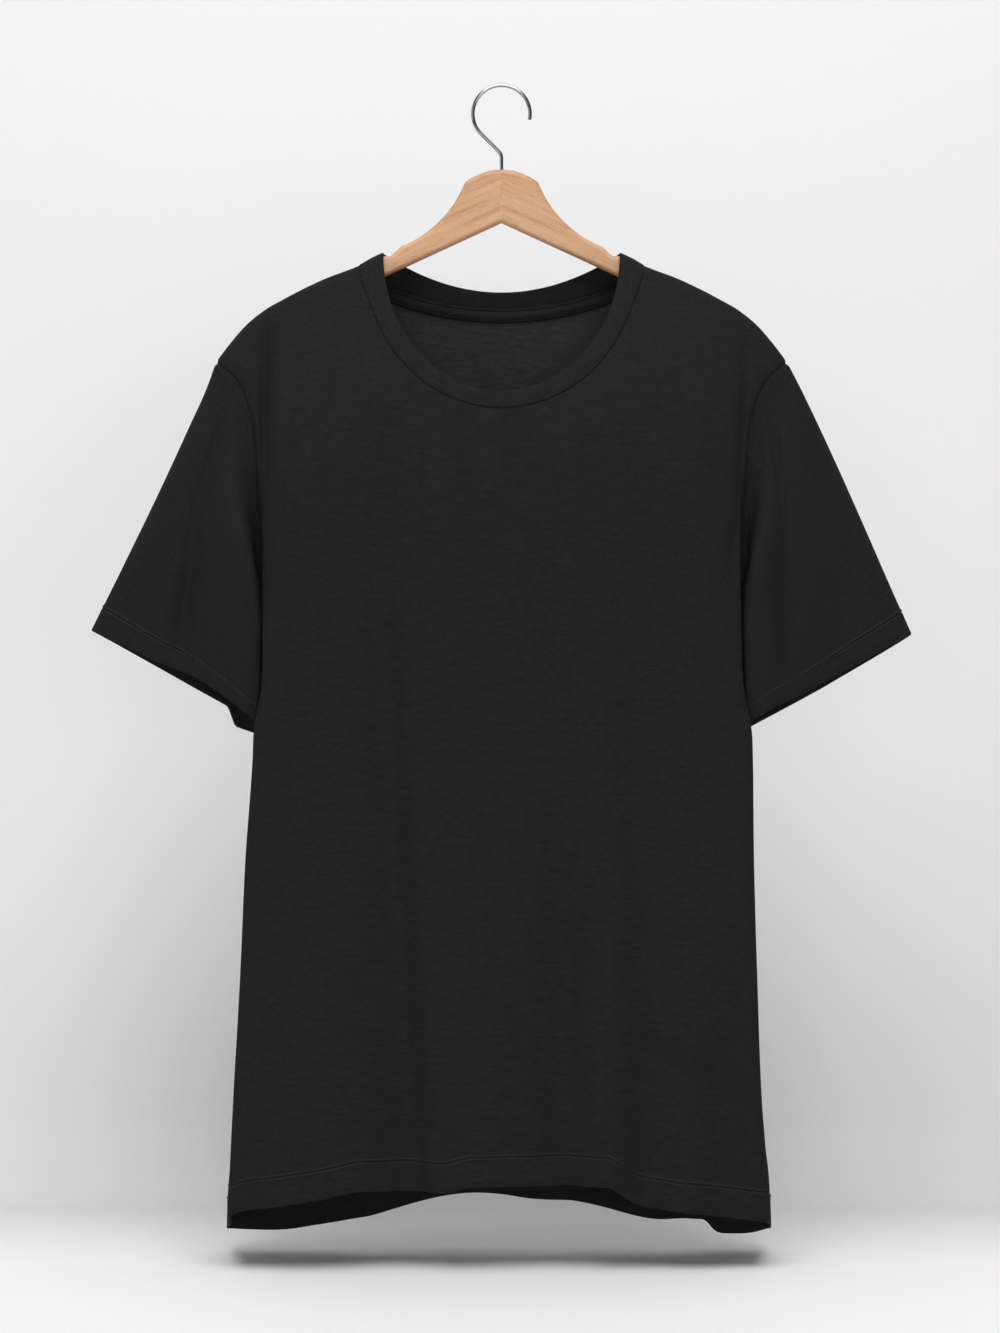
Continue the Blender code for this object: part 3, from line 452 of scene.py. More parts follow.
FOLD_START = 0.030
FOLD_RUN_OUT = 0.14
FOLD_GROWS = 0.40
FOLD_DIES = 0.35
Fold = namedtuple("Fold", "x_top z_top x_low z_low left right depth")
FRONT_FOLDS = [
    # a soft trough (a ridge where depth is below 0) from one point to another, and its spread to each side
    Fold(-0.098, -0.300, -0.071, -0.930, 0.024, 0.012, 0.0075),
    Fold(0.046, -0.560, 0.052, -0.930, 0.022, 0.016, 0.0070),
    Fold(0.092, -0.520, 0.088, -0.930, 0.013, 0.015, -0.0045),
    Fold(0.132, -0.300, 0.124, -0.930, 0.016, 0.016, 0.0050),
    Fold(-0.030, -0.600, -0.022, -0.930, 0.022, 0.022, -0.0030),
    Fold(-0.150, -0.560, -0.150, -0.930, 0.018, 0.020, -0.0030),
    Fold(0.172, -0.620, 0.176, -0.930, 0.014, 0.014, 0.0040),
]
BACK_FOLDS = [
    Fold(-0.090, -0.260, -0.110, -0.930, 0.016, 0.022, 0.0070),
    Fold(-0.020, -0.420, -0.035, -0.930, 0.020, 0.018, -0.0050),
    Fold(0.038, -0.340, 0.045, -0.930, 0.018, 0.018, 0.0065),
    Fold(0.118, -0.280, 0.128, -0.930, 0.022, 0.015, 0.0070),
    Fold(0.086, -0.520, 0.088, -0.930, 0.016, 0.016, -0.0030),
]
FRONT_CREASES = [
    # smaller soft creases that the cloth alone has
    Fold(-0.128, -0.180, -0.160, -0.330, 0.009, 0.009, 0.0012),
    Fold(0.130, -0.180, 0.166, -0.340, 0.009, 0.009, 0.0012),
    Fold(-0.104, -0.200, -0.064, -0.930, 0.015, 0.008, 0.0062),
    Fold(-0.070, -0.240, -0.040, -0.930, 0.014, 0.016, -0.0018),
    Fold(0.044, -0.400, 0.050, -0.930, 0.012, 0.007, 0.0044),
    Fold(0.072, -0.400, 0.076, -0.930, 0.009, 0.008, -0.0036),
    Fold(0.102, -0.260, 0.108, -0.930, 0.008, 0.010, 0.0040),
    Fold(0.142, -0.400, 0.148, -0.930, 0.010, 0.009, -0.0022),
    Fold(0.006, -0.520, 0.004, -0.930, 0.009, 0.012, 0.0014),
    Fold(-0.190, -0.640, -0.196, -0.930, 0.008, 0.008, 0.0014),
]
BACK_CREASES = [
    Fold(-0.098, -0.330, -0.106, -0.930, 0.006, 0.010, 0.0036),
    Fold(-0.060, -0.420, -0.072, -0.930, 0.010, 0.009, -0.0026),
    Fold(0.004, -0.460, 0.006, -0.930, 0.009, 0.011, -0.0026),
    Fold(0.036, -0.400, 0.044, -0.930, 0.009, 0.006, 0.0032),
    Fold(0.074, -0.460, 0.078, -0.930, 0.009, 0.009, -0.0026),
    Fold(0.124, -0.360, 0.130, -0.930, 0.006, 0.010, 0.0030),
    Fold(0.160, -0.600, 0.172, -0.930, 0.010, 0.010, -0.0018),
]
Dent = namedtuple("Dent", "x z wide high lean depth")
FRONT_DENTS = [
    # short hollows, each with its half sizes and how far it leans over, in degrees
    Dent(-0.1862, -0.262, 0.0036, 0.048, 0, 0.0105),
    Dent(-0.1880, -0.212, 0.0060, 0.010, 0, 0.0016),
    Dent(0.1885, -0.282, 0.0032, 0.040, -3.7, 0.0062),
    Dent(0.1985, -0.211, 0.0050, 0.009, 0, 0.0016),
    Dent(0.1800, -0.378, 0.0050, 0.020, 0, 0.0030),
    Dent(0.2050, -0.850, 0.0360, 0.055, 0, 0.0070),
    Dent(0.1600, -0.792, 0.0300, 0.012, -28, 0.0034),
    Dent(0.1300, -0.765, 0.0300, 0.007, -24, 0.0020),
    Dent(-0.1640, -0.862, 0.0100, 0.007, 0, 0.0016),
    Dent(-0.0900, -0.245, 0.0300, 0.018, -60, -0.0012),
]
BACK_DENTS = [
    Dent(0.1870, -0.266, 0.0027, 0.036, 0, 0.0046),
    Dent(-0.1885, -0.276, 0.0027, 0.036, 3, 0.0046),
    Dent(0.1500, -0.800, 0.0300, 0.010, 24, 0.0024),
    Dent(-0.0500, -0.300, 0.0400, 0.012, 20, 0.0012),
    Dent(0.0800, -0.860, 0.0120, 0.008, 0, 0.0016),
]

NOISE_CELLS = 64
Swell = namedtuple("Swell", "height across down lean")
SWELLS = [
    # the uneven ground of the hanging cloth, from its broad swells to its smallest
    Swell(0.00075, 0.034, 0.110, 0.0),
    Swell(0.00035, 0.016, 0.052, 0.15),
    Swell(0.00012, 0.007, 0.016, -0.2),
]

# the dark, the black and the grey yarn, on the face and on the purl side
HEATHER = (0.0092, 0.0092, 0.0092, 1), (0.0122, 0.0122, 0.0121, 1), (0.0170, 0.0169, 0.0167, 1)
# the purl side is paler partly of itself and partly as painted light on the shaded inside of the shirt
PURL_TONES_PAINTED_LIGHT = (0.0222, 0.0222, 0.0222, 1), (0.0299, 0.0299, 0.0297, 1), (0.0419, 0.0418, 0.0411, 1)
WALE = 0.00085
COURSE = 0.00066


def ease(t):
    t = np.clip(t, 0.0, 1.0)
    return t * t * (3 - 2 * t)


def bezier(a, b, c, d, t):
    return a * (1 - t) ** 3 + 3 * b * t * (1 - t) ** 2 + 3 * c * t * t * (1 - t) + d * t**3


def lengths(line):
    return np.concatenate([[0], np.cumsum(np.linalg.norm(np.diff(line, axis=0), axis=1))])


def bend_then_even(total, count):
    """Distances along an edge that starts on the shoulder: close together over the bend, then even."""
    rest = np.linspace(BEND_STEPS[-1], total, count - len(BEND_STEPS) + 2)
    return np.concatenate([BEND_STEPS, rest[1:]])


def hang(depth, drop):
    """Depth of the cloth at a drop below the shoulder ridge: it bends round the hanger's arm, then slopes
    out to the depth that it hangs at lower down."""
    drop = np.maximum(drop, 0.0)
    bend = RIDGE_RADIUS * np.sqrt(1 - (1 - np.minimum(drop / RIDGE_RADIUS, 1.0)) ** 2)
    slope = 1 - (1 - np.minimum(drop / RIDGE_REACH, 1.0)) ** 2
    held = ease(depth / BEND_DEPTH)
    return bend * held + (depth - RIDGE_RADIUS * held) * slope


def side_edge(z):
    """x and depth of a panel's side edge: armhole above the armpit, side seam below it."""
    scoop = np.sqrt(np.clip(1 - ((SCOOP_Z - z) / (SCOOP_Z - ARMPIT_Z)) ** 2, 0, 1))
    last = ARMHOLE[-1]
    above, below = z >= SCOOP_Z, z <= ARMPIT_Z
    x = np.where(below, read(SIDE_SEAM, z, "x"), ARMPIT_X + (last.x - ARMPIT_X) * scoop)
    depth = np.where(below, 0.0, last.depth * scoop)
    return np.where(above, read(ARMHOLE, z, "x"), x), np.where(above, read(ARMHOLE, z, "depth"), depth)


def fold_depth(x, z, folds):
    """How far the cloth sinks in at a place: the sum of the soft folds."""
    total = np.zeros_like(x)
    for fold in folds:
        run = np.clip((fold.z_top - z) / (fold.z_top - fold.z_low), 0, 1)
        centre = fold.x_top + (fold.x_low - fold.x_top) * run
        fade = ease(run / FOLD_GROWS)
        if fold.z_low > HEM_LEVEL:
            fade *= ease((1 - run) / FOLD_DIES)
        spread = np.where(x < centre, fold.left, fold.right)
        total += fold.depth * fade * np.exp(-0.5 * ((x - centre) / spread) ** 2)
    return total


def dent_depth(x, z, dents):
    total = np.zeros_like(x)
    for dent in dents:
        lean = math.radians(dent.lean)
        across = (x - dent.x) * math.cos(lean) + (z - dent.z) * math.sin(lean)
        up = (z - dent.z) * math.cos(lean) - (x - dent.x) * math.sin(lean)
        total += dent.depth * np.exp(-0.5 * ((across / dent.wide) ** 2 + (up / dent.high) ** 2))
    return total


def section(share, z, back):
    """x and full depth of the body's level outline: the front or back face, the corner fold, the side."""
    t = np.abs(share)
    middle = read(LEVELS, z, "back" if back else "front")
    thin = middle / read(LEVELS, z, "front")
    heading = np.radians(read(LEVELS, z, "turn"))
    way_x, way_in = np.cos(heading), np.sin(heading)
    corner_x, corner = read(LEVELS, z, "corner_x"), read(LEVELS, z, "corner") * thin
    if back:
        corner_x = corner_x + BACK_FLARE * ease((FLARE_FROM - z) / FLARE_RUN)
    edge_x, edge = side_edge(z)
    edge = edge * thin
    reach = SIDE_BOW * np.hypot(edge_x - corner_x, edge - corner)
    straight = ease((SHOULDER_Z - z) / (SHOULDER_Z - SCOOP_Z))
    out_x, out_in = way_x * (1 - straight), way_in * (1 - straight) + straight
    size = np.hypot(out_x, out_in)
    face, side = np.clip(t / FACE_SHARE, 0, 1), np.clip((t - FACE_SHARE) / (1 - FACE_SHARE), 0, 1)
    on_face = t <= FACE_SHARE
    x = np.where(
        on_face,
        bezier(0.0, FACE_BOW * corner_x, corner_x - CORNER_BEND * way_x, corner_x, face),
        bezier(corner_x, corner_x + reach * way_x, edge_x - reach * out_x / size, edge_x, side),
    )
    depth = np.where(
        on_face,
        bezier(middle, middle, corner + CORNER_BEND * way_in, corner, face),
        bezier(corner, corner - reach * way_in, edge + reach * out_in / size, edge, side),
    )
    return x, depth


def soft_noise(u, v, cell_u, cell_v, seed):
    """Smooth uneven ground from -1 to 1, with cells of the given size."""
    table = np.random.RandomState(seed).uniform(-1, 1, (NOISE_CELLS, NOISE_CELLS))
    i, j = u / cell_u, v / cell_v
    a, b = np.floor(i).astype(int), np.floor(j).astype(int)
    s, t = ease(i - a), ease(j - b)
    corner = lambda p, q: table[(a + p) % NOISE_CELLS, (b + q) % NOISE_CELLS]
    low = corner(0, 0) * (1 - s) + corner(1, 0) * s
    high = corner(0, 1) * (1 - s) + corner(1, 1) * s
    return low * (1 - t) + high * t


def rumple(u, v, seed):
    """The slight unevenness of hanging jersey, longer down the wales than across."""
    return sum(
        swell.height * soft_noise(u + swell.lean * v, v, swell.across, swell.down, seed + k)
        for k, swell in enumerate(SWELLS)
    )


def body_surface(share, z, back):
    """Points of the body's middle surface."""
    share, z = np.broadcast_arrays(np.asarray(share, float), np.asarray(z, float))
    x, depth = section(share, z, back)
    drop = ridge_z(x) - z
    x = np.copysign(x, share) + read(SWAYS, z, "x")
    depth = hang(depth, drop)
    inside = 1 - ease((np.abs(share) - FACE_SHARE) / FOLD_RUN_OUT)
    start = ease(drop / FOLD_START)
    folds = (BACK_FOLDS + BACK_CREASES) if back else (FRONT_FOLDS + FRONT_CREASES)
    dents = BACK_DENTS if back else FRONT_DENTS
    depth -= (fold_depth(x, z, folds) + dent_depth(x, z, dents)) * inside * start
    neck_drop = NECK_BACK_DROP if back else NECK_FRONT_DROP
    from_neck = np.hypot(x / NECK_HALF, (z - NECK_TOP) / neck_drop) - 1
    calm = ease((1 - np.abs(share)) / CALM_EDGE) * start * ease(from_neck / CALM_NECK)
    depth += rumple(x, z, BACK_SEED if back else FRONT_SEED) * calm
    return np.stack([x, depth if back else -depth, z], axis=-1)


def solve(test, low, high):
    """Halves an interval until it closes on the place where test turns from true to false."""
    for _ in range(HALVINGS):
        middle = (low + high) / 2
        right = test(middle)
        low, high = np.where(right, middle, low), np.where(right, high, middle)
    return (low + high) / 2


def height_of(share, drop, back):
    """Height of the point at a share and a drop below the shoulder ridge."""
    share, drop = np.broadcast_arrays(np.asarray(share, float), np.asarray(drop, float))
    low, high = np.full(share.shape, LOWEST_ABOVE), np.full(share.shape, HIGHEST)
    return solve(lambda z: z + drop < ridge_z(section(share, z, back)[0]), low, high)


def share_of(x, z, back):
    """Share of the point of the forward face at an x and a height."""
    low, high = np.zeros(x.shape), np.full(x.shape, FACE_SHARE)
    return np.copysign(solve(lambda share: section(share, z, back)[0] < np.abs(x), low, high), x)


def neck_loop(half_width, flare, top, drop, bow, angle, back):
    """Points round one half of a neck opening: angle 0 is the right shoulder, pi the left."""
    x = half_width * np.cos(angle)
    x += np.copysign(flare * np.cos(angle) ** FLARE_FADE, x)
    z = np.minimum(top - drop * np.abs(np.sin(angle)) ** bow, ridge_z(x))
    depth = hang(section(share_of(x, z, back), z, back)[1], ridge_z(x) - z)
    return np.stack([x, depth if back else -depth, z], axis=-1)


def neck_seam(angle, back):
    if back:
        return neck_loop(NECK_HALF, NECK_FLARE, NECK_TOP, NECK_BACK_DROP, NECK_BACK_BOW, angle, True)
    return neck_loop(NECK_HALF, NECK_FLARE, NECK_TOP, NECK_FRONT_DROP, 1.0, angle, False)


def neck_angles(back):
    """Angles of the neck seam's points, from the left shoulder round to the right."""
    fine = np.linspace(0, math.pi / 2, 400)
    run = lengths(neck_seam(fine, back))
    quarter = np.interp(bend_then_even(run[-1], ARMHOLE_ROWS + FACE_COLUMNS), run, fine)
    return np.concatenate([math.pi - quarter, quarter[-2::-1]])


def edge_heights(share, back):
    """Heights of the points down the line of one share, from the shoulder ridge to the armpit's level."""
    top = float(height_of(share, 0.0, back))
    fine = top + (ARMPIT_Z - top) * np.sin(np.linspace(0, math.pi / 2, 300))
    run = lengths(body_surface(share, fine, back))
    heights = np.interp(bend_then_even(run[-1], ARMHOLE_ROWS), run, fine)
    heights[-1] = ARMPIT_Z
    return heights


def pull(points, inside):
    """Moves points on a seam a gap back towards the points inside them."""
    step = inside - points
    return points + step / np.linalg.norm(step, axis=-1, keepdims=True) * SEAM_GAP


def grid_normals(grid, closed=False):
    """Unit normals of a grid of points, rows first; they point along rows x columns."""
    down = np.gradient(grid, axis=0)
    if closed:
        along = np.roll(grid, -1, axis=1) - np.roll(grid, 1, axis=1)
    else:
        along = np.gradient(grid, axis=1)
    normal = np.cross(down, along)
    return normal / np.maximum(np.linalg.norm(normal, axis=-1, keepdims=True), 1e-12)


def hem_levels(hem):
    """Heights of a hem's rows above its fold, close together at the stitching."""
    return np.concatenate([[0.0, hem * 0.25, hem * 0.5], hem + np.array(STITCH_STEPS)])


HEM_LAYERS = 4 + STITCH_STEPS.index(0.0)  # rows of a hem up to its stitching


def hem_relief(height, along, hem, seed):
    """How far a hem stands out: it is thicker up to the stitching, which draws it into a puckered welt."""
    past = height - hem
    pucker = soft_noise(along, height, PUCKER_LONG, PUCKER_HIGH, seed)
    wave = soft_noise(along, height, WAVE_LONG, WAVE_HIGH, seed + 1)
    welt = HEM_WELT * (1 + WELT_PUCKER * pucker) * np.exp(-((past / WELT_HALF) ** 2))
    groove = HEM_GROOVE * (1 + GROOVE_PUCKER * pucker) * np.exp(-(((past + GROOVE_BELOW) / GROOVE_HALF) ** 2))
    band = HEM_BAND * (1 - ease((past + BAND_END) / BAND_FADE))
    return welt - groove + band + WAVE_DEEP * wave * np.exp(-((past / WAVE_HALF) ** 2))


def turned_up(grid, outward, layers, closed=False):
    """The rows of a hem's hidden layer and its fold, to go before a grid whose first rows are the hem."""
    inward = -outward * grid_normals(grid, closed)[:layers]
    tip = grid[0] - grid[1]
    tip /= np.linalg.norm(tip, axis=-1, keepdims=True)
    fold = [
        grid[0] + tip * HEM_INSIDE * HEM_FOLD_OUT * math.sin(a)
        + inward[0] * HEM_INSIDE * (1 - math.cos(a)) / 2
        for a in np.radians((135, 90, 45))
    ]
    hidden = [grid[k] + inward[k] * HEM_INSIDE for k in range(layers - 1, -1, -1)]
    return np.array(hidden + fold)


def width_at(share):
    """Distance across the flat panel from its middle, for the knit to follow."""
    t = np.abs(share)
    flat = np.minimum(t, FACE_SHARE) / FACE_SHARE * FACE_WIDTH
    flat = flat + np.maximum(t - FACE_SHARE, 0) / (1 - FACE_SHARE) * SIDE_WIDTH
    return np.copysign(flat, share)


def knit_at(share, z):
    share, z = np.broadcast_arrays(share, z)
    return np.stack([width_at(share), z, np.zeros(share.shape)], axis=-1)


def hem_height(shares, back):
    """Height of the hem at a share: its place is its x on the face, and runs on round the side."""
    x = section(np.minimum(np.abs(shares), FACE_SHARE), HEM_LEVEL, back)[0]
    place = x + HEM_SIDE * np.clip((np.abs(shares) - FACE_SHARE) / (1 - FACE_SHARE), 0, 1)
    return read(BACK_HEM if back else FRONT_HEM, np.copysign(place, shares), "z")


def panel_shares():
    face = np.linspace(-FACE_SHARE, FACE_SHARE, 2 * FACE_COLUMNS + 1)
    side = np.linspace(FACE_SHARE, 1, SIDE_COLUMNS + 1)
    return np.concatenate([-side[:0:-1], face, side[1:]])


def lower_patch(back):
    """The panel below the armpit, rows from the hem up, with the turned-up layer before them."""
    shares = panel_shares()
    hem = hem_height(shares, back)
    levels = hem_levels(BODY_HEM)
    rows = [hem + level for level in levels]
    rows += [rows[-1] + (ARMPIT_Z - rows[-1]) * k / LOW_ROWS for k in range(1, LOW_ROWS + 1)]
    grid = np.array([body_surface(shares, z, back) for z in rows])
    knit = np.array([knit_at(shares, z) for z in rows])
    outward = 1 if back else -1
    seed = BACK_HEM_SEED if back else FRONT_HEM_SEED
    relief = hem_relief(levels[:, None], width_at(shares)[None], BODY_HEM, seed)
    grid[:len(levels)] += outward * relief[..., None] * grid_normals(grid)[:len(levels)]
    grid[:, 0] = pull(grid[:, 0], grid[:, 1])
    grid[:, -1] = pull(grid[:, -1], grid[:, -2])
    hidden = turned_up(grid, outward, HEM_LAYERS)
    hidden_knit = np.concatenate([knit[HEM_LAYERS - 1::-1], np.repeat(knit[:1], 3, axis=0)])
    return np.concatenate([hidden, grid]), np.concatenate([hidden_knit, knit])


def face_patch(back):
    """The panel's face above the armpit, rows from the neck seam out to the corner folds and down to the
    armpit's level."""
    seam = neck_seam(neck_angles(back), back)
    share = share_of(seam[:, 0], seam[:, 2], back)
    drop = ridge_z(seam[:, 0]) - seam[:, 2]
    fold = edge_heights(FACE_SHARE, back)
    across = np.linspace(-FACE_SHARE, FACE_SHARE, 2 * FACE_COLUMNS + 1)
    edge = np.full(ARMHOLE_ROWS, FACE_SHARE)
    rim_share = np.concatenate([-edge, across, edge])
    rim_z = np.concatenate([fold[:-1], np.full(len(across), ARMPIT_Z), fold[-2::-1]])
    rim = body_surface(rim_share, rim_z, back)
    rim_drop = ridge_z(section(rim_share, rim_z, back)[0]) - rim_z
    rows, knit = [], []
    for k in range(HIGH_ROWS + 1):
        step = 1 - (1 - (k / HIGH_ROWS) ** ROWS_CLOSE_UP) ** ROWS_OPEN_OUT
        at_share, at_drop = share + (rim_share - share) * step, drop + (rim_drop - drop) * step
        z = height_of(at_share, at_drop, back)
        rows.append(body_surface(at_share, z, back))
        knit.append(knit_at(at_share, z))
    grid = np.array(rows)
    grid[0], grid[-1] = seam, rim
    grid[:, 0] = pull(grid[:, 0], grid[:, 1])
    grid[:, -1] = pull(grid[:, -1], grid[:, -2])
    grid[0] = pull(grid[0], grid[1])
    return grid, np.array(knit)


def side_patch(side_x, back):
    """The strip from the corner fold round to the armhole, rows from the ridge to the armpit's level."""
    fold, hole = edge_heights(FACE_SHARE, back), edge_heights(1.0, back)
    fold_drop = ridge_z(section(FACE_SHARE, fold, back)[0]) - fold
    hole_drop = ridge_z(section(1.0, hole, back)[0]) - hole
    columns, knit = [], []
    for k in range(SIDE_COLUMNS + 1):
        step = 1 - (1 - k / SIDE_COLUMNS) ** SIDE_CLOSE_UP
        share = np.full(len(fold), FACE_SHARE + (1 - FACE_SHARE) * step)
        z = height_of(share, fold_drop + (hole_drop - fold_drop) * step, back)
        z[-1] = ARMPIT_Z
        z = fold if k == 0 else hole if k == SIDE_COLUMNS else z
        columns.append(body_surface(share * side_x, z, back))
        knit.append(knit_at(share * side_x, z))
    grid = np.array(columns).transpose(1, 0, 2)
    from_seam = np.linalg.norm(grid - grid[:, -1:], axis=-1, keepdims=True)
    sink = SEAM_SINK * np.exp(-((from_seam / SEAM_SOFT) ** 2))
    sink[-1] = 0.0
    grid -= sink * grid_normals(grid) * side_x * (-1 if back else 1)
    grid[0] = pull(grid[0], grid[1])
    grid[:, -1] = pull(grid[:, -1], grid[:, -2])
    return grid, np.array(knit).transpose(1, 0, 2)


def grid_quads(rows, columns, closed=False):
    index = np.arange(rows * columns).reshape(rows, columns)
    if closed:
        index = np.concatenate([index, index[:, :1]], axis=1)
    corners = (index[:-1, :-1], index[:-1, 1:], index[1:, 1:], index[1:, :-1])
    return np.stack(corners, axis=-1).reshape(-1, 4)


def turn_in(points, knit, quads, sewn):
    """Folds a sheet's sewn edges in, so that its seams are soft valleys. sewn marks the points on them."""
    corner = points[quads]
    faced = np.cross(corner[:, 2] - corner[:, 0], corner[:, 3] - corner[:, 1])
    normals = np.zeros_like(points)
    for k in range(4):
        np.add.at(normals, quads[:, k], faced)
    normals /= np.linalg.norm(normals, axis=1, keepdims=True)
    sides = {}
    for number, quad in enumerate(quads.tolist()):
        for start, end in zip(quad, quad[1:] + quad[:1]):
            sides[start, end] = number
    rim = [(s, e, q) for (s, e), q in sides.items() if (e, s) not in sides and sewn[s] and sewn[e]]
    way = np.zeros_like(points)
    for start, end, number in rim:
        for point in (start, end):
            step = points[point] - corner[number].mean(axis=0)
            way[point] += step / np.linalg.norm(step)
    used = sorted({point for start, end, _ in rim for point in (start, end)})
    way = way[used] / np.linalg.norm(way[used], axis=1, keepdims=True)
    before = {point: point for point in used}
    rings, strips = [points], [quads]
    for depth, slip in ((JERSEY * 0.22, SEAM_GAP * 0.7), (JERSEY * 0.5, SEAM_GAP), (TURNED_IN, SEAM_GAP)):
        start_at = sum(len(ring) for ring in rings)
        now = {point: start_at + k for k, point in enumerate(used)}
        rings.append(points[used] - normals[used] * depth + way * slip)
        strips.append(np.array([(before[e], before[s], now[s], now[e]) for s, e, _ in rim]))
        before = now
    return np.concatenate(rings), np.concatenate([knit] + [knit[used]] * 3), np.concatenate(strips)


def cloth_piece(name, points, knit, quads, paint, wall, reverse=None):
    """A piece of cloth with a wall's thickness round a sheet of points."""
    data = bpy.data.meshes.new(name)
    data.from_pydata(points.tolist(), [], quads.tolist())
    give_coordinates(data, "knit", knit)
    data.shade_smooth()
    data.materials.append(paint)
    piece = link(bpy.data.objects.new(name, data))
    thick = piece.modifiers.new("wall", "SOLIDIFY")
    thick.thickness = wall
    thick.offset = 0.0
    if reverse:
        data.materials.append(reverse)
        thick.material_offset = 1
    return piece


def panel_cloth(name, back, paint, reverse):
    """A body panel: its patches, joined where they share an edge."""
    shares = len(panel_shares())
    patches = [
        lower_patch(back),
        [g[::-1] for g in face_patch(back)],
        [g[::-1, ::-1] for g in side_patch(-1, back)],
        [g[::-1] for g in side_patch(1, back)],
    ]
    quads, start = [], 0
    for grid, _ in patches:
        quads.append(grid_quads(grid.shape[0], grid.shape[1]) + start)
        start += grid.shape[0] * grid.shape[1]
    points = np.concatenate([grid.reshape(-1, 3) for grid, _ in patches])
    knit = np.concatenate([place.reshape(-1, 3) for _, place in patches])
    _, first, number = np.unique(np.round(points, 6), axis=0, return_index=True, return_inverse=True)
    number = number.ravel()
    quads = number[np.concatenate(quads)]
    sewn = np.ones(len(first), bool)
    sewn[number[:shares]] = False
    quads = quads[:, ::-1] if back else quads
    return cloth_piece(name, *turn_in(points[first], knit[first], quads, sewn), paint, JERSEY, reverse)


def math_node(tree, operation, first, second=None, out=0):
    made = node(tree, "ShaderNodeMath", operation=operation)
    join(tree, first, made, out)
    if isinstance(second, (int, float)):
        made.inputs[1].default_value = second
    elif second is not None:
        join(tree, second, made, 0, 1)
    return made


def multiply(tree, source, by, out=0):
    return math_node(tree, "MULTIPLY", source, by, out)


def heather_colour(tree, knit, shader, tones):
    """Black yarn spun with some grey fibres: short streaks along the courses."""
    streaks = stretched_noise(tree, knit, (240, 900, 1), 2, 0.55)
    slubs = stretched_noise(tree, knit, (70, 330, 1), 2, 0.5)
    both = math_node(tree, "ADD", multiply(tree, streaks, 0.62), multiply(tree, slubs, 0.38))
    yarn = ramp(tree, list(zip((0.34, 0.50, 0.70), tones)))
    join(tree, join(tree, both, yarn), shader, 0, "Base Color")


def cloth_gloss(shader):
    shader.inputs["Roughness"].default_value = 0.92
    shader.inputs["Specular IOR Level"].default_value = 0.10
    shader.inputs["Sheen Weight"].default_value = 0.02
    shader.inputs["Sheen Roughness"].default_value = 0.55
    shader.inputs["Sheen Tint"].default_value = (0.30, 0.30, 0.30, 1)


def knit_paint(name, tones):
    """A knitted cloth's material, and its place across (x) and along (y) the knit."""
    paint, tree, shader = new_paint(name)
    knit = node(tree, "ShaderNodeAttribute", attribute_name="knit")
    heather_colour(tree, knit, shader, tones)
    cloth_gloss(shader)
    return paint, tree, shader, join(tree, knit, node(tree, "ShaderNodeSeparateXYZ"), 1)


def black_jersey():
    """Plain jersey: each wale is a column of small V-shaped loops."""
    paint, tree, shader, split = knit_paint("black_heather_jersey", HEATHER)
    across = math_node(tree, "FRACT", multiply(tree, split, 1 / WALE, 0))
    lean = math_node(tree, "ABSOLUTE", math_node(tree, "SUBTRACT", across, 0.5))
    loops = math_node(tree, "ADD", multiply(tree, split, 1 / COURSE, 1), multiply(tree, lean, 1.1))
    wave = math_node(tree, "SINE", multiply(tree, loops, 2 * math.pi))
    groove = math_node(tree, "MULTIPLY", math_node(tree, "POWER", multiply(tree, lean, 2), 3.0), -2.2)
    height = math_node(tree, "ADD", wave, groove)
    roughen(tree, height, shader, 0.35, 0.00010)
    return paint


def jersey_reverse():
    """The jersey's purl side: rows of small half rings, paler than the face, partly of itself and partly as
    painted light on the shirt's shaded inside.
    """
    paint, tree, shader, split = knit_paint("black_heather_jersey_reverse_painted_light", PURL_TONES_PAINTED_LIGHT)
    swing = math_node(tree, "SINE", multiply(tree, split, 2 * math.pi / WALE, 0))
    course = multiply(tree, split, 2 * math.pi / COURSE, 1)
    rings = math_node(tree, "ADD", course, multiply(tree, swing, 1.3))
    roughen(tree, math_node(tree, "SINE", rings), shader, 0.35, 0.00012)
    return paint


jersey = black_jersey()
# the purl side's paint: its paleness is partly painted light on the shaded inside of the shirt
purl = jersey_reverse()
front_cloth = panel_cloth("front_panel_cloth", False, jersey, purl)
back_cloth = panel_cloth("back_panel_cloth", True, jersey, purl)
for cloth, cad_node, cut, flat_area in (
    (front_cloth, "front_panel", (0.560, 0.790), 0.370),
    (back_cloth, "back_panel", (0.560, 0.810), 0.390),
):
    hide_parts(cad_node)
    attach(cloth, "root")


# ================================================================ sleeves
# A short sleeve is one piece of the same jersey, closed by an underarm seam and set into the armhole. It
# hangs as a soft flattened tube with a crease down from the shoulder. Its cuff is turned up and
# cover-stitched.

SLEEVE_HEM = 0.0206
SLEEVE_LENGTH = 0.235
SEAM_VALLEY = 0.0045
SEAM_VALLEY_AT = 0.05
UNDER_PINCH = 0.8
UNDER_REACH = 1.4
ARMHOLE_REACH = 0.55
SLEEVE_FOLD_START = 0.20
SLEEVE_AROUND = 0.42
SLEEVE_ROWS = 64
SLEEVE_CLOSE_UP = 1.35  # rows lie closer together at the armhole
ROUND_POINTS = 400
ARMHOLE_SPLIT = 3  # points between one row's end at the armhole and the next
SLEEVE_FRONT_SEED, SLEEVE_BACK_SEED, CUFF_SEED = 60, 70, 110

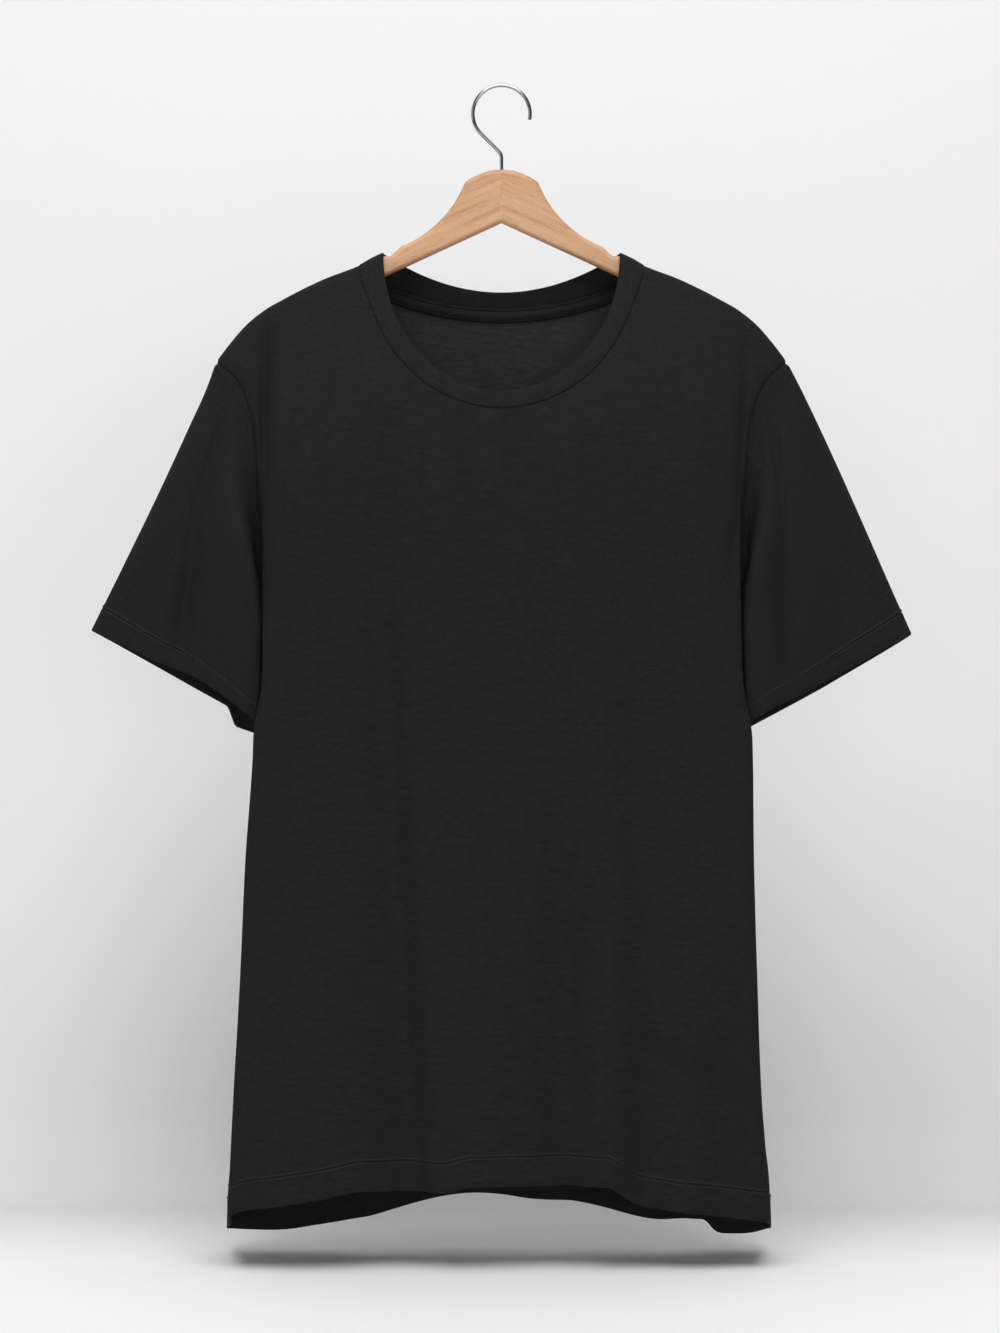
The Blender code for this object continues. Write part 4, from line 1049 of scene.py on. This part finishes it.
Sleeve = namedtuple("Sleeve", "along outer_x outer_z under_x under_z front back")
LEFT_SLEEVE = [
    # share of the way to the cuff, the outer fold, the underarm seam, the depth in front and behind
    Sleeve(0.00, 0.2265, -0.2190, 0.1600, -0.4200, 0.0300, 0.0300),
    Sleeve(0.08, 0.2325, -0.2365, 0.1690, -0.4240, 0.0330, 0.0325),
    Sleeve(0.25, 0.2485, -0.2725, 0.1665, -0.4380, 0.0370, 0.0360),
    Sleeve(0.50, 0.2730, -0.3255, 0.1665, -0.4640, 0.0340, 0.0340),
    Sleeve(0.75, 0.2985, -0.3780, 0.1655, -0.4940, 0.0300, 0.0310),
    Sleeve(1.00, 0.3245, -0.4310, 0.1650, -0.5220, 0.0250, 0.0270),
]
RIGHT_SLEEVE = [
    Sleeve(0.00, 0.2265, -0.2190, 0.1600, -0.4200, 0.0300, 0.0300),
    Sleeve(0.08, 0.2355, -0.2365, 0.1690, -0.4240, 0.0330, 0.0325),
    Sleeve(0.25, 0.2535, -0.2740, 0.1665, -0.4380, 0.0370, 0.0360),
    Sleeve(0.50, 0.2785, -0.3290, 0.1665, -0.4640, 0.0340, 0.0340),
    Sleeve(0.75, 0.3015, -0.3815, 0.1655, -0.4940, 0.0300, 0.0310),
    Sleeve(1.00, 0.3245, -0.4340, 0.1650, -0.5230, 0.0250, 0.0270),
]
SLEEVE_FRONT_FOLDS = [
    Fold(-0.223, -0.230, -0.255, -0.440, 0.012, 0.012, 0.0060),
    Fold(0.226, -0.235, 0.221, -0.470, 0.011, 0.012, 0.0060),
]
SLEEVE_BACK_FOLDS = [
    Fold(-0.226, -0.235, -0.236, -0.460, 0.012, 0.012, 0.0055),
    Fold(0.222, -0.230, 0.246, -0.450, 0.012, 0.012, 0.0055),
]

SLEEVE_FRONT_CREASES = [
    Fold(-0.1920, -0.235, -0.1905, -0.640, 0.0300, 0.0036, -0.0250),
    Fold(0.1930, -0.235, 0.1925, -0.640, 0.0036, 0.0300, -0.0250),
    Fold(-0.262, -0.300, -0.285, -0.560, 0.0090, 0.0100, -0.0020),
    Fold(0.258, -0.300, 0.276, -0.560, 0.0120, 0.0110, 0.0014),
]
SLEEVE_BACK_CREASES = [
    Fold(-0.1995, -0.235, -0.1985, -0.640, 0.0260, 0.0046, -0.0140),
    Fold(0.1995, -0.235, 0.1985, -0.640, 0.0046, 0.0260, -0.0140),
    Fold(0.262, -0.300, 0.285, -0.560, 0.0090, 0.0100, -0.0020),
]
SLEEVE_FRONT_DENTS = [
    Dent(-0.2280, -0.275, 0.0024, 0.050, -13, 0.0040),
    Dent(-0.2310, -0.300, 0.0070, 0.040, -12, 0.0030),
    Dent(-0.2450, -0.392, 0.0052, 0.046, -8, 0.0080),
    Dent(-0.2500, -0.424, 0.0064, 0.018, 0, 0.0044),
    Dent(0.2228, -0.300, 0.0026, 0.066, 0, 0.0050),
    Dent(0.2205, -0.415, 0.0050, 0.045, 4, 0.0046),
]
SLEEVE_BACK_DENTS = [
    Dent(-0.2280, -0.300, 0.0034, 0.060, -4, 0.0036),
    Dent(-0.2360, -0.410, 0.0055, 0.040, -4, 0.0036),
    Dent(0.2340, -0.290, 0.0034, 0.046, 12, 0.0034),
    Dent(0.2490, -0.395, 0.0055, 0.044, 5, 0.0046),
]

Cuff = namedtuple("Cuff", "front_lift arch arch_x arch_half back_dip curl start run")
CUFFS = {
    # how a cuff's edge leaves a straight line: up in front with a short arch, down behind, and a curl that
    # hangs down behind near the underarm, with where it ends and over what share of the way it dies out
    -1: Cuff(0.0050, 0.0068, -0.232, 0.034, 0.0004, 0.0148, 0.402, 0.034),
    1: Cuff(0.0022, 0.0036, 0.203, 0.026, 0.0030, 0.0060, 1.0, 1.0),
}


def armhole(side_x):
    """The armhole's points, from the shoulder down the front to the armpit, and up the back."""
    front = body_surface(side_x, edge_heights(1.0, False), False)
    behind = body_surface(side_x, edge_heights(1.0, True), True)
    corners = np.concatenate([front, behind[-2:0:-1]])
    step = (np.roll(corners, -1, axis=0) - corners) / ARMHOLE_SPLIT
    return np.stack([corners + step * k for k in range(ARMHOLE_SPLIT)], axis=1).reshape(-1, 3)


def sleeve_section(along, side_x, shares):
    """A sleeve's outline at one place along it, at these shares of its way round."""
    rows = LEFT_SLEEVE if side_x < 0 else RIGHT_SLEEVE
    at = {name: float(read(rows, along, name)) for name in Sleeve._fields[1:]}
    outer = np.array([at["outer_x"] * side_x, 0, at["outer_z"]])
    under = np.array([at["under_x"] * side_x, 0, at["under_z"]])
    angle = np.linspace(0, 2 * math.pi, ROUND_POINTS)
    line = (outer + under) / 2 + (outer - under) / 2 * np.cos(angle)[:, None]
    front = angle <= math.pi
    pinch = 1 + UNDER_PINCH * ease(1 - np.abs(np.cos(angle / 2)) * UNDER_REACH)
    round_it = np.abs(np.sin(angle))
    valley = SEAM_VALLEY * along / SEAM_VALLEY_AT * math.exp(1 - along / SEAM_VALLEY_AT)
    depth = np.where(front, valley - at["front"], at["back"] - valley) * round_it**pinch
    grown = round_it * ease(along / SLEEVE_FOLD_START)
    for part, folds, dents, way, seed in (
        (front, SLEEVE_FRONT_FOLDS + SLEEVE_FRONT_CREASES, SLEEVE_FRONT_DENTS, 1, SLEEVE_FRONT_SEED),
        (~front, SLEEVE_BACK_FOLDS + SLEEVE_BACK_CREASES, SLEEVE_BACK_DENTS, -1, SLEEVE_BACK_SEED),
    ):
        place = line[:, 0], line[:, 2]
        sink = fold_depth(*place, folds) + dent_depth(*place, dents) + rumple(*place, seed)
        depth += np.where(part, sink * grown * way, 0.0)
    line[:, 1] = depth
    cuff = CUFFS[side_x]
    to_fold = np.clip(angle / math.pi - 1, 0, 1)
    curl = cuff.curl * ease((cuff.start - to_fold) / cuff.run) * np.minimum(to_fold / cuff.start, 1)
    behind = cuff.back_dip + curl
    lift = cuff.front_lift + cuff.arch * np.exp(-(((line[:, 0] - cuff.arch_x) / cuff.arch_half) ** 2))
    line[:, 2] += round_it * np.where(front, lift, -behind) * along**2
    run = lengths(line)
    return np.stack([np.interp(shares * run[-1], run, line[:, k]) for k in range(3)], axis=-1)


def sleeve_grid(side_x):
    """The sleeve's points, rows from the cuff's fold to the armhole."""
    hole = armhole(side_x)
    run = lengths(np.concatenate([hole, hole[:1]]))
    shares = run[:-1] / run[-1]
    levels = hem_levels(SLEEVE_HEM)
    cuff = 1 - levels / SLEEVE_LENGTH
    alongs = np.concatenate([cuff, cuff[-1] * np.linspace(1, 0, SLEEVE_ROWS)[1:] ** SLEEVE_CLOSE_UP])
    first = sleeve_section(0.0, side_x, shares)
    rows = []
    for along in alongs:
        fade = (1 - min(along / ARMHOLE_REACH, 1.0)) ** 2
        rows.append(sleeve_section(along, side_x, shares) + (hole - first) * fade)
    grid = np.array(rows)
    relief = hem_relief(levels[:, None], shares[None] * SLEEVE_AROUND, SLEEVE_HEM, CUFF_SEED + side_x)
    grid[:len(levels)] += side_x * relief[..., None] * grid_normals(grid, closed=True)[:len(levels)]
    sink = SEAM_SINK * np.exp(-((alongs * SLEEVE_LENGTH / SEAM_SOFT) ** 2))
    grid -= side_x * sink[:, None, None] * grid_normals(grid, closed=True)
    grid[-1] = pull(grid[-1], grid[-2])
    places = np.broadcast_arrays(shares * SLEEVE_AROUND, -alongs[:, None] * SLEEVE_LENGTH, 0.0)
    return grid, np.stack(places, axis=-1)


def sleeve_cloth(name, side_x, paint, reverse, cad_node):
    grid, knit = sleeve_grid(side_x)
    hidden = turned_up(grid, side_x, HEM_LAYERS, closed=True)
    hidden_knit = np.concatenate([knit[HEM_LAYERS - 1::-1], np.repeat(knit[:1], 3, axis=0)])
    points, places = np.concatenate([hidden, grid]), np.concatenate([hidden_knit, knit])
    around = points.shape[1]
    quads = grid_quads(len(points), around, closed=True)
    if side_x > 0:
        quads = quads[:, ::-1]
    sewn = np.arange(len(points) * around) >= (len(points) - 1) * around
    sheet = turn_in(points.reshape(-1, 3), places.reshape(-1, 3), quads, sewn)
    sleeve = cloth_piece(name, *sheet, paint, JERSEY, reverse)
    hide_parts(cad_node)
    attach(sleeve, "root")


sleeve_cloth("sleeve_left_cloth", -1, jersey, purl, "sleeve_left")
sleeve_cloth("sleeve_right_cloth", 1, jersey, purl, "sleeve_right")


# ================================================================ neck rib
# One band of 1x1 rib knit, folded in half along its length and sewn round the whole neck. The fold is the
# finished edge, and the ribs run across the band.

RIB_LAYER = 0.0009
RIB_THICK = 0.0020
RIB_ROWS = 9
RIB_CROWN = 0.0005
RIB_PITCH = 0.00125
RIB_CUT = 0.033
EDGE_HALF = 0.0945
EDGE_TOP = -0.1325
EDGE_FRONT_DROP = 0.1128
EDGE_BACK_DROP = 0.0295
EDGE_BACK_BOW = 2.0


def rib_edge(angle, back):
    if back:
        return neck_loop(EDGE_HALF, 0.0, EDGE_TOP, EDGE_BACK_DROP, EDGE_BACK_BOW, angle, True)
    return neck_loop(EDGE_HALF, 0.0, EDGE_TOP, EDGE_FRONT_DROP, 1.0, angle, False)


def black_rib():
    paint, tree, shader, split = knit_paint("black_rib_knit", HEATHER)
    ribs = math_node(tree, "SINE", multiply(tree, split, 2 * math.pi / RIB_PITCH, 0))
    loops = math_node(tree, "SINE", multiply(tree, split, 2 * math.pi / COURSE, 1))
    height = math_node(tree, "ADD", ribs, multiply(tree, loops, 0.3))
    roughen(tree, height, shader, 0.5, 0.00018)
    return paint


front_angles, back_angles = neck_angles(False), neck_angles(True)[-2:0:-1]
rib_seam = np.concatenate([neck_seam(front_angles, False), neck_seam(back_angles, True)])
rib_fold = np.concatenate([rib_edge(front_angles, False), rib_edge(back_angles, True)])
rib_seam = pull(rib_seam, rib_fold)
rib_rise = np.linspace(0, 1, RIB_ROWS)[:, None, None]
rib_middle = rib_seam + (rib_fold - rib_seam) * rib_rise
rib_out = -grid_normals(rib_middle, closed=True)
if rib_out[0, len(front_angles) // 2, 1] > 0:
    rib_out = -rib_out
rib_crown = RIB_CROWN * np.sin(np.pi * rib_rise)
rib_half = (RIB_THICK - RIB_LAYER) / 2
rib_outer = rib_middle + rib_out * (rib_half + rib_crown)
rib_inner = rib_middle - rib_out * rib_half
rib_tip = rib_middle[-1] - rib_middle[-2]
rib_tip /= np.linalg.norm(rib_tip, axis=-1, keepdims=True)
rib_bend = [
    rib_middle[-1] + rib_half * (rib_out[-1] * math.cos(a) + rib_tip * math.sin(a))
    for a in np.radians((45, 90, 135))
]
rib_points = np.concatenate([rib_outer, rib_bend, rib_inner[::-1]])
rib_run = lengths(rib_seam)
rib_down = np.linspace(0, RIB_CUT, len(rib_points))[:, None]
rib_knit = np.stack(np.broadcast_arrays(rib_run, rib_down, 0.0), axis=-1)
rib_quads = grid_quads(len(rib_points), rib_points.shape[1], closed=True)
neck_band = cloth_piece(
    "neck_rib_band", rib_points.reshape(-1, 3), rib_knit.reshape(-1, 3), rib_quads[:, ::-1], black_rib(),
    RIB_LAYER,
)
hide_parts("neck_rib")
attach(neck_band, "root")


# ================================================================ back neck tape
# A narrow strip of jersey, folded at both edges and sewn flat over the back neck seam inside the shirt. Two
# rows of stitching leave a soft raised welt along it.

TAPE_START = 0.0010
TAPE_WIDTH = 0.0110
TAPE_LAYER = 0.0011
TAPE_LIFT = 0.0011
TAPE_WELT = 0.0019
TAPE_EDGE = 0.0008
TAPE_ROWS = 21
TAPE_EDGE_AT, TAPE_EDGE_HALF = 0.08, 0.06
TAPE_WELT_FROM, TAPE_WELT_FULL = 0.2, 0.7
TAPE_STITCHED_ROWS = (3, TAPE_ROWS - 3)

tape_panel = face_patch(True)[0]
tape_end = len(BEND_STEPS) + 3
tape_top = tape_panel[0, tape_end:-tape_end]
tape_way = tape_panel[4, tape_end:-tape_end] - tape_top
tape_way /= np.linalg.norm(tape_way, axis=-1, keepdims=True)
tape_rows = []
for spread in np.linspace(0, 1, TAPE_ROWS):
    edge_welt = TAPE_EDGE * math.exp(-(((spread - TAPE_EDGE_AT) / TAPE_EDGE_HALF) ** 2))
    over = math.pi * max(spread - TAPE_WELT_FROM, 0.0) / (1 - TAPE_WELT_FROM)
    welt = TAPE_WELT * math.sin(over) ** TAPE_WELT_FULL if spread < 1 else 0.0
    row = tape_top + tape_way * (TAPE_START + TAPE_WIDTH * spread)
    row[:, 1] -= TAPE_LIFT + edge_welt + welt
    tape_rows.append(row)
tape_points = np.array(tape_rows)
tape_knit = np.stack(np.broadcast_arrays(
    lengths(tape_top), np.linspace(0, TAPE_WIDTH, TAPE_ROWS)[:, None], 0.0), axis=-1)
neck_tape = cloth_piece(
    "neck_tape_strip", tape_points.reshape(-1, 3), tape_knit.reshape(-1, 3),
    grid_quads(TAPE_ROWS, tape_points.shape[1]), jersey, TAPE_LAYER,
)
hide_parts("neck_tape")
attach(neck_tape, "root")


# ================================================================ stitching
# Black polyester thread. A twin-needle cover stitch shows as two even rows of short stitches on the bottom
# hem and on each cuff, and one row holds each edge of the neck tape.

STITCH = 0.0026
STITCH_PITCH = 0.0031
THREAD = 0.00027
NEEDLE_GAUGE = 0.0032
THREAD_RISE = THREAD * 0.25
STITCH_TURNS, STITCH_RINGS = 6, 5

THREAD_BLACK = (0.012, 0.012, 0.012, 1)
THREAD_DARK = (0.008, 0.008, 0.008, 1)


def black_thread():
    paint, tree, shader = new_paint("black_thread")
    place = node(tree, "ShaderNodeTexCoord")
    twist = stretched_noise(tree, place, (2500, 2500, 2500), 1, 0.5, "Object")
    ply = ramp(tree, [(0.35, THREAD_DARK), (0.7, THREAD_BLACK)])
    join(tree, join(tree, twist, ply), shader, 0, "Base Color")
    shader.inputs["Roughness"].default_value = 0.6
    return paint


def stitch_row(line, normal):
    """Places of the stitches along a seam: points with the way the thread runs and the cloth's normal."""
    run = lengths(line)
    count = int(run[-1] / STITCH_PITCH)
    at = (np.arange(count) + 0.5) * run[-1] / count
    pick = lambda values, places: np.stack([np.interp(places, run, values[:, k]) for k in range(3)], axis=-1)
    middle, out = pick(line, at), pick(normal, at)
    way = pick(line, at + STITCH / 2) - pick(line, at - STITCH / 2)
    way /= np.linalg.norm(way, axis=-1, keepdims=True)
    out /= np.linalg.norm(out, axis=-1, keepdims=True)
    return middle, way, out


def stitches(name, rows, lift, paint):
    """One mesh of small rounded stitches, half sunk in the cloth."""
    lean = np.linspace(0, math.pi, STITCH_RINGS)
    round_at = np.arange(STITCH_TURNS) * 2 * math.pi / STITCH_TURNS
    shape = np.array([
        (-math.cos(a), math.sin(a) * math.cos(b), math.sin(a) * math.sin(b)) for a in lean for b in round_at
    ])
    faces = grid_quads(STITCH_RINGS, STITCH_TURNS, closed=True)
    points, quads, start = [], [], 0
    for middle, way, out in rows:
        side = np.cross(out, way)
        base = middle + out * lift
        made = (
            base[:, None]
            + way[:, None] * shape[:, :1] * STITCH / 2
            + out[:, None] * shape[:, 1:2] * THREAD
            + side[:, None] * shape[:, 2:] * THREAD
        )
        points.append(made.reshape(-1, 3))
        quads.append((faces + (np.arange(len(base)) * len(shape))[:, None, None] + start).reshape(-1, 4))
        start += len(base) * len(shape)
    data = bpy.data.meshes.new(name)
    data.from_pydata(np.concatenate(points).tolist(), [], np.concatenate(quads).tolist())
    data.shade_smooth()
    data.materials.append(paint)
    piece = link(bpy.data.objects.new(name, data))
    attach(piece, "root")


def stitch_level(grid, normal, levels, height):
    """The line at a height between a hem's rows, with the cloth's normals along it."""
    k = int(np.searchsorted(levels, height)) - 1
    part = (height - levels[k]) / (levels[k + 1] - levels[k])
    return grid[k] * (1 - part) + grid[k + 1] * part, normal[k]


def hem_rows(back):
    """The cover stitch's two rows on a panel's hem."""
    face = lower_patch(back)[0][HEM_LAYERS + 3:]
    normal = grid_normals(face) * (1 if back else -1)
    heights = (BODY_HEM, BODY_HEM - NEEDLE_GAUGE)
    return [stitch_row(*stitch_level(face, normal, hem_levels(BODY_HEM), height)) for height in heights]


def cuff_rows(side_x):
    face = sleeve_grid(side_x)[0]
    face = np.concatenate([face, face[:, :1]], axis=1)
    normal = grid_normals(face) * side_x
    heights = (SLEEVE_HEM, SLEEVE_HEM - NEEDLE_GAUGE)
    return [stitch_row(*stitch_level(face, normal, hem_levels(SLEEVE_HEM), height)) for height in heights]


thread = black_thread()
on_cloth = JERSEY / 2 + THREAD_RISE
stitches("hem_stitches", hem_rows(False) + hem_rows(True), on_cloth, thread)
stitches("cuff_stitches_left", cuff_rows(-1), on_cloth, thread)
stitches("cuff_stitches_right", cuff_rows(1), on_cloth, thread)
tape_inward = np.tile([0.0, -1.0, 0.0], (tape_points.shape[1], 1))
stitches(
    "tape_stitches", [stitch_row(tape_points[k], tape_inward) for k in TAPE_STITCHED_ROWS],
    TAPE_LAYER / 2 + THREAD_RISE, thread,
)


# ================================================================ floor and backdrop
# A pale seamless paper sweep: it lies on the floor under the shirt, curves up behind it and leans back.
# Its colour is painted light: white on the floor in front, grey towards the wall and up it.

FLOOR_Z = -0.932
WALL_FOOT = 0.34
WALL_TOP = (1.30, 1.60)
SWEEP = 0.10
SWEEP_STEPS = 16
PAPER_NEAR, PAPER_HALF_WIDTH = -3.2, 3.5
# painted light: from the floor in front to the foot of the wall the paper's colour turns from white to grey
PAINTED_LIGHT_FULL_Y = 0.0
PAINTED_LIGHT_GONE_Y = 0.34
PAPER_PAINTED_FLOOR_LIGHT = (0.91, 0.91, 0.91, 1)
PAPER_WALL_PAINTED_SHADE = (0.69, 0.69, 0.69, 1)

wall_lean = math.atan2(WALL_TOP[1] - FLOOR_Z, WALL_TOP[0] - WALL_FOOT)
sweep_start = WALL_FOOT - SWEEP * math.tan(wall_lean / 2)
sweep_line = [(PAPER_NEAR, FLOOR_Z), (sweep_start, FLOOR_Z)]
sweep_line += [
    (sweep_start + SWEEP * math.sin(a), FLOOR_Z + SWEEP - SWEEP * math.cos(a))
    for a in np.linspace(0.1, wall_lean, SWEEP_STEPS)
]
sweep_line.append(WALL_TOP)
sweep = bpy.data.meshes.new("paper_sweep")
sweep.from_pydata(
    [(x, y, z) for y, z in sweep_line for x in (-PAPER_HALF_WIDTH, PAPER_HALF_WIDTH)], [],
    [(2 * k, 2 * k + 1, 2 * k + 3, 2 * k + 2) for k in range(len(sweep_line) - 1)],
)
sweep.shade_smooth()
paper, paper_tree, paper_shader = new_paint("pale_paper_painted_light")
paper_place = join(
    paper_tree, node(paper_tree, "ShaderNodeTexCoord"), node(paper_tree, "ShaderNodeSeparateXYZ"), "Object")
paper_painted_light_place = node(paper_tree, "ShaderNodeMapRange", From_Min=PAINTED_LIGHT_FULL_Y, From_Max=PAINTED_LIGHT_GONE_Y)
join(paper_tree, paper_place, paper_painted_light_place, "Y", "Value")
# painted light: white on the floor in front, grey from the foot of the wall up
paper_painted_light = join(paper_tree, paper_painted_light_place, ramp(paper_tree, [(0.0, PAPER_PAINTED_FLOOR_LIGHT), (1.0, PAPER_WALL_PAINTED_SHADE)]))
join(paper_tree, paper_painted_light, paper_shader, 0, "Base Color")
paper_shader.inputs["Roughness"].default_value = 0.9
sweep.materials.append(paper)
link(bpy.data.objects.new("paper_sweep", sweep))


# ================================================================ light
# A large soft box far out on the left, one above in front, one overhead for the paper, a broad one far in
# front, and a plain pale room.

def soft_box(name, place, aim, size, watts):
    lamp = bpy.data.lights.new(name, "AREA")
    lamp.shape = "RECTANGLE"
    lamp.size, lamp.size_y = size
    lamp.energy = watts
    box = link(bpy.data.objects.new(name, lamp))
    box.location = place
    box.rotation_mode = "QUATERNION"
    box.rotation_quaternion = (Vector(aim) - Vector(place)).to_track_quat("-Z", "Y")


soft_box("side_box", place=(-6.0, -3.5, 1.2), aim=(0, 0, -0.45), size=(2.6, 3.0), watts=64)
soft_box("front_box", place=(0.0, -1.8, 1.9), aim=(0, 0.1, -0.5), size=(2.4, 1.4), watts=60)
soft_box("top_box", place=(0.0, -0.3, 1.8), aim=(0, 0.2, -0.9), size=(2.4, 1.6), watts=26)
soft_box("fill_box", place=(0.4, -5.0, -0.35), aim=(0, 0, -0.5), size=(3.0, 1.4), watts=62)
room = bpy.data.worlds.new("pale_room")
room.use_nodes = True
room.node_tree.nodes["Background"].inputs["Color"].default_value = (1, 1, 1, 1)
room.node_tree.nodes["Background"].inputs["Strength"].default_value = 0.10
bpy.context.scene.world = room


# ================================================================ camera
# Level, straight in front, at the height of the chest.

CAMERA_DISTANCE = 2.8
CAMERA_PLACE = (-0.0012, -CAMERA_DISTANCE, -0.4600)
VIEW_HEIGHT = 1.0584  # the height that the camera takes in, at the hanger's plane

camera = bpy.data.cameras.new("camera")
camera.sensor_width = 36.0
camera.lens = camera.sensor_width * CAMERA_DISTANCE / VIEW_HEIGHT
camera_stand = link(bpy.data.objects.new("camera", camera))
camera_stand.location = CAMERA_PLACE
camera_stand.rotation_euler = (math.radians(90), 0, 0)
bpy.context.scene.camera = camera_stand
bpy.context.scene.view_settings.view_transform = "Standard"
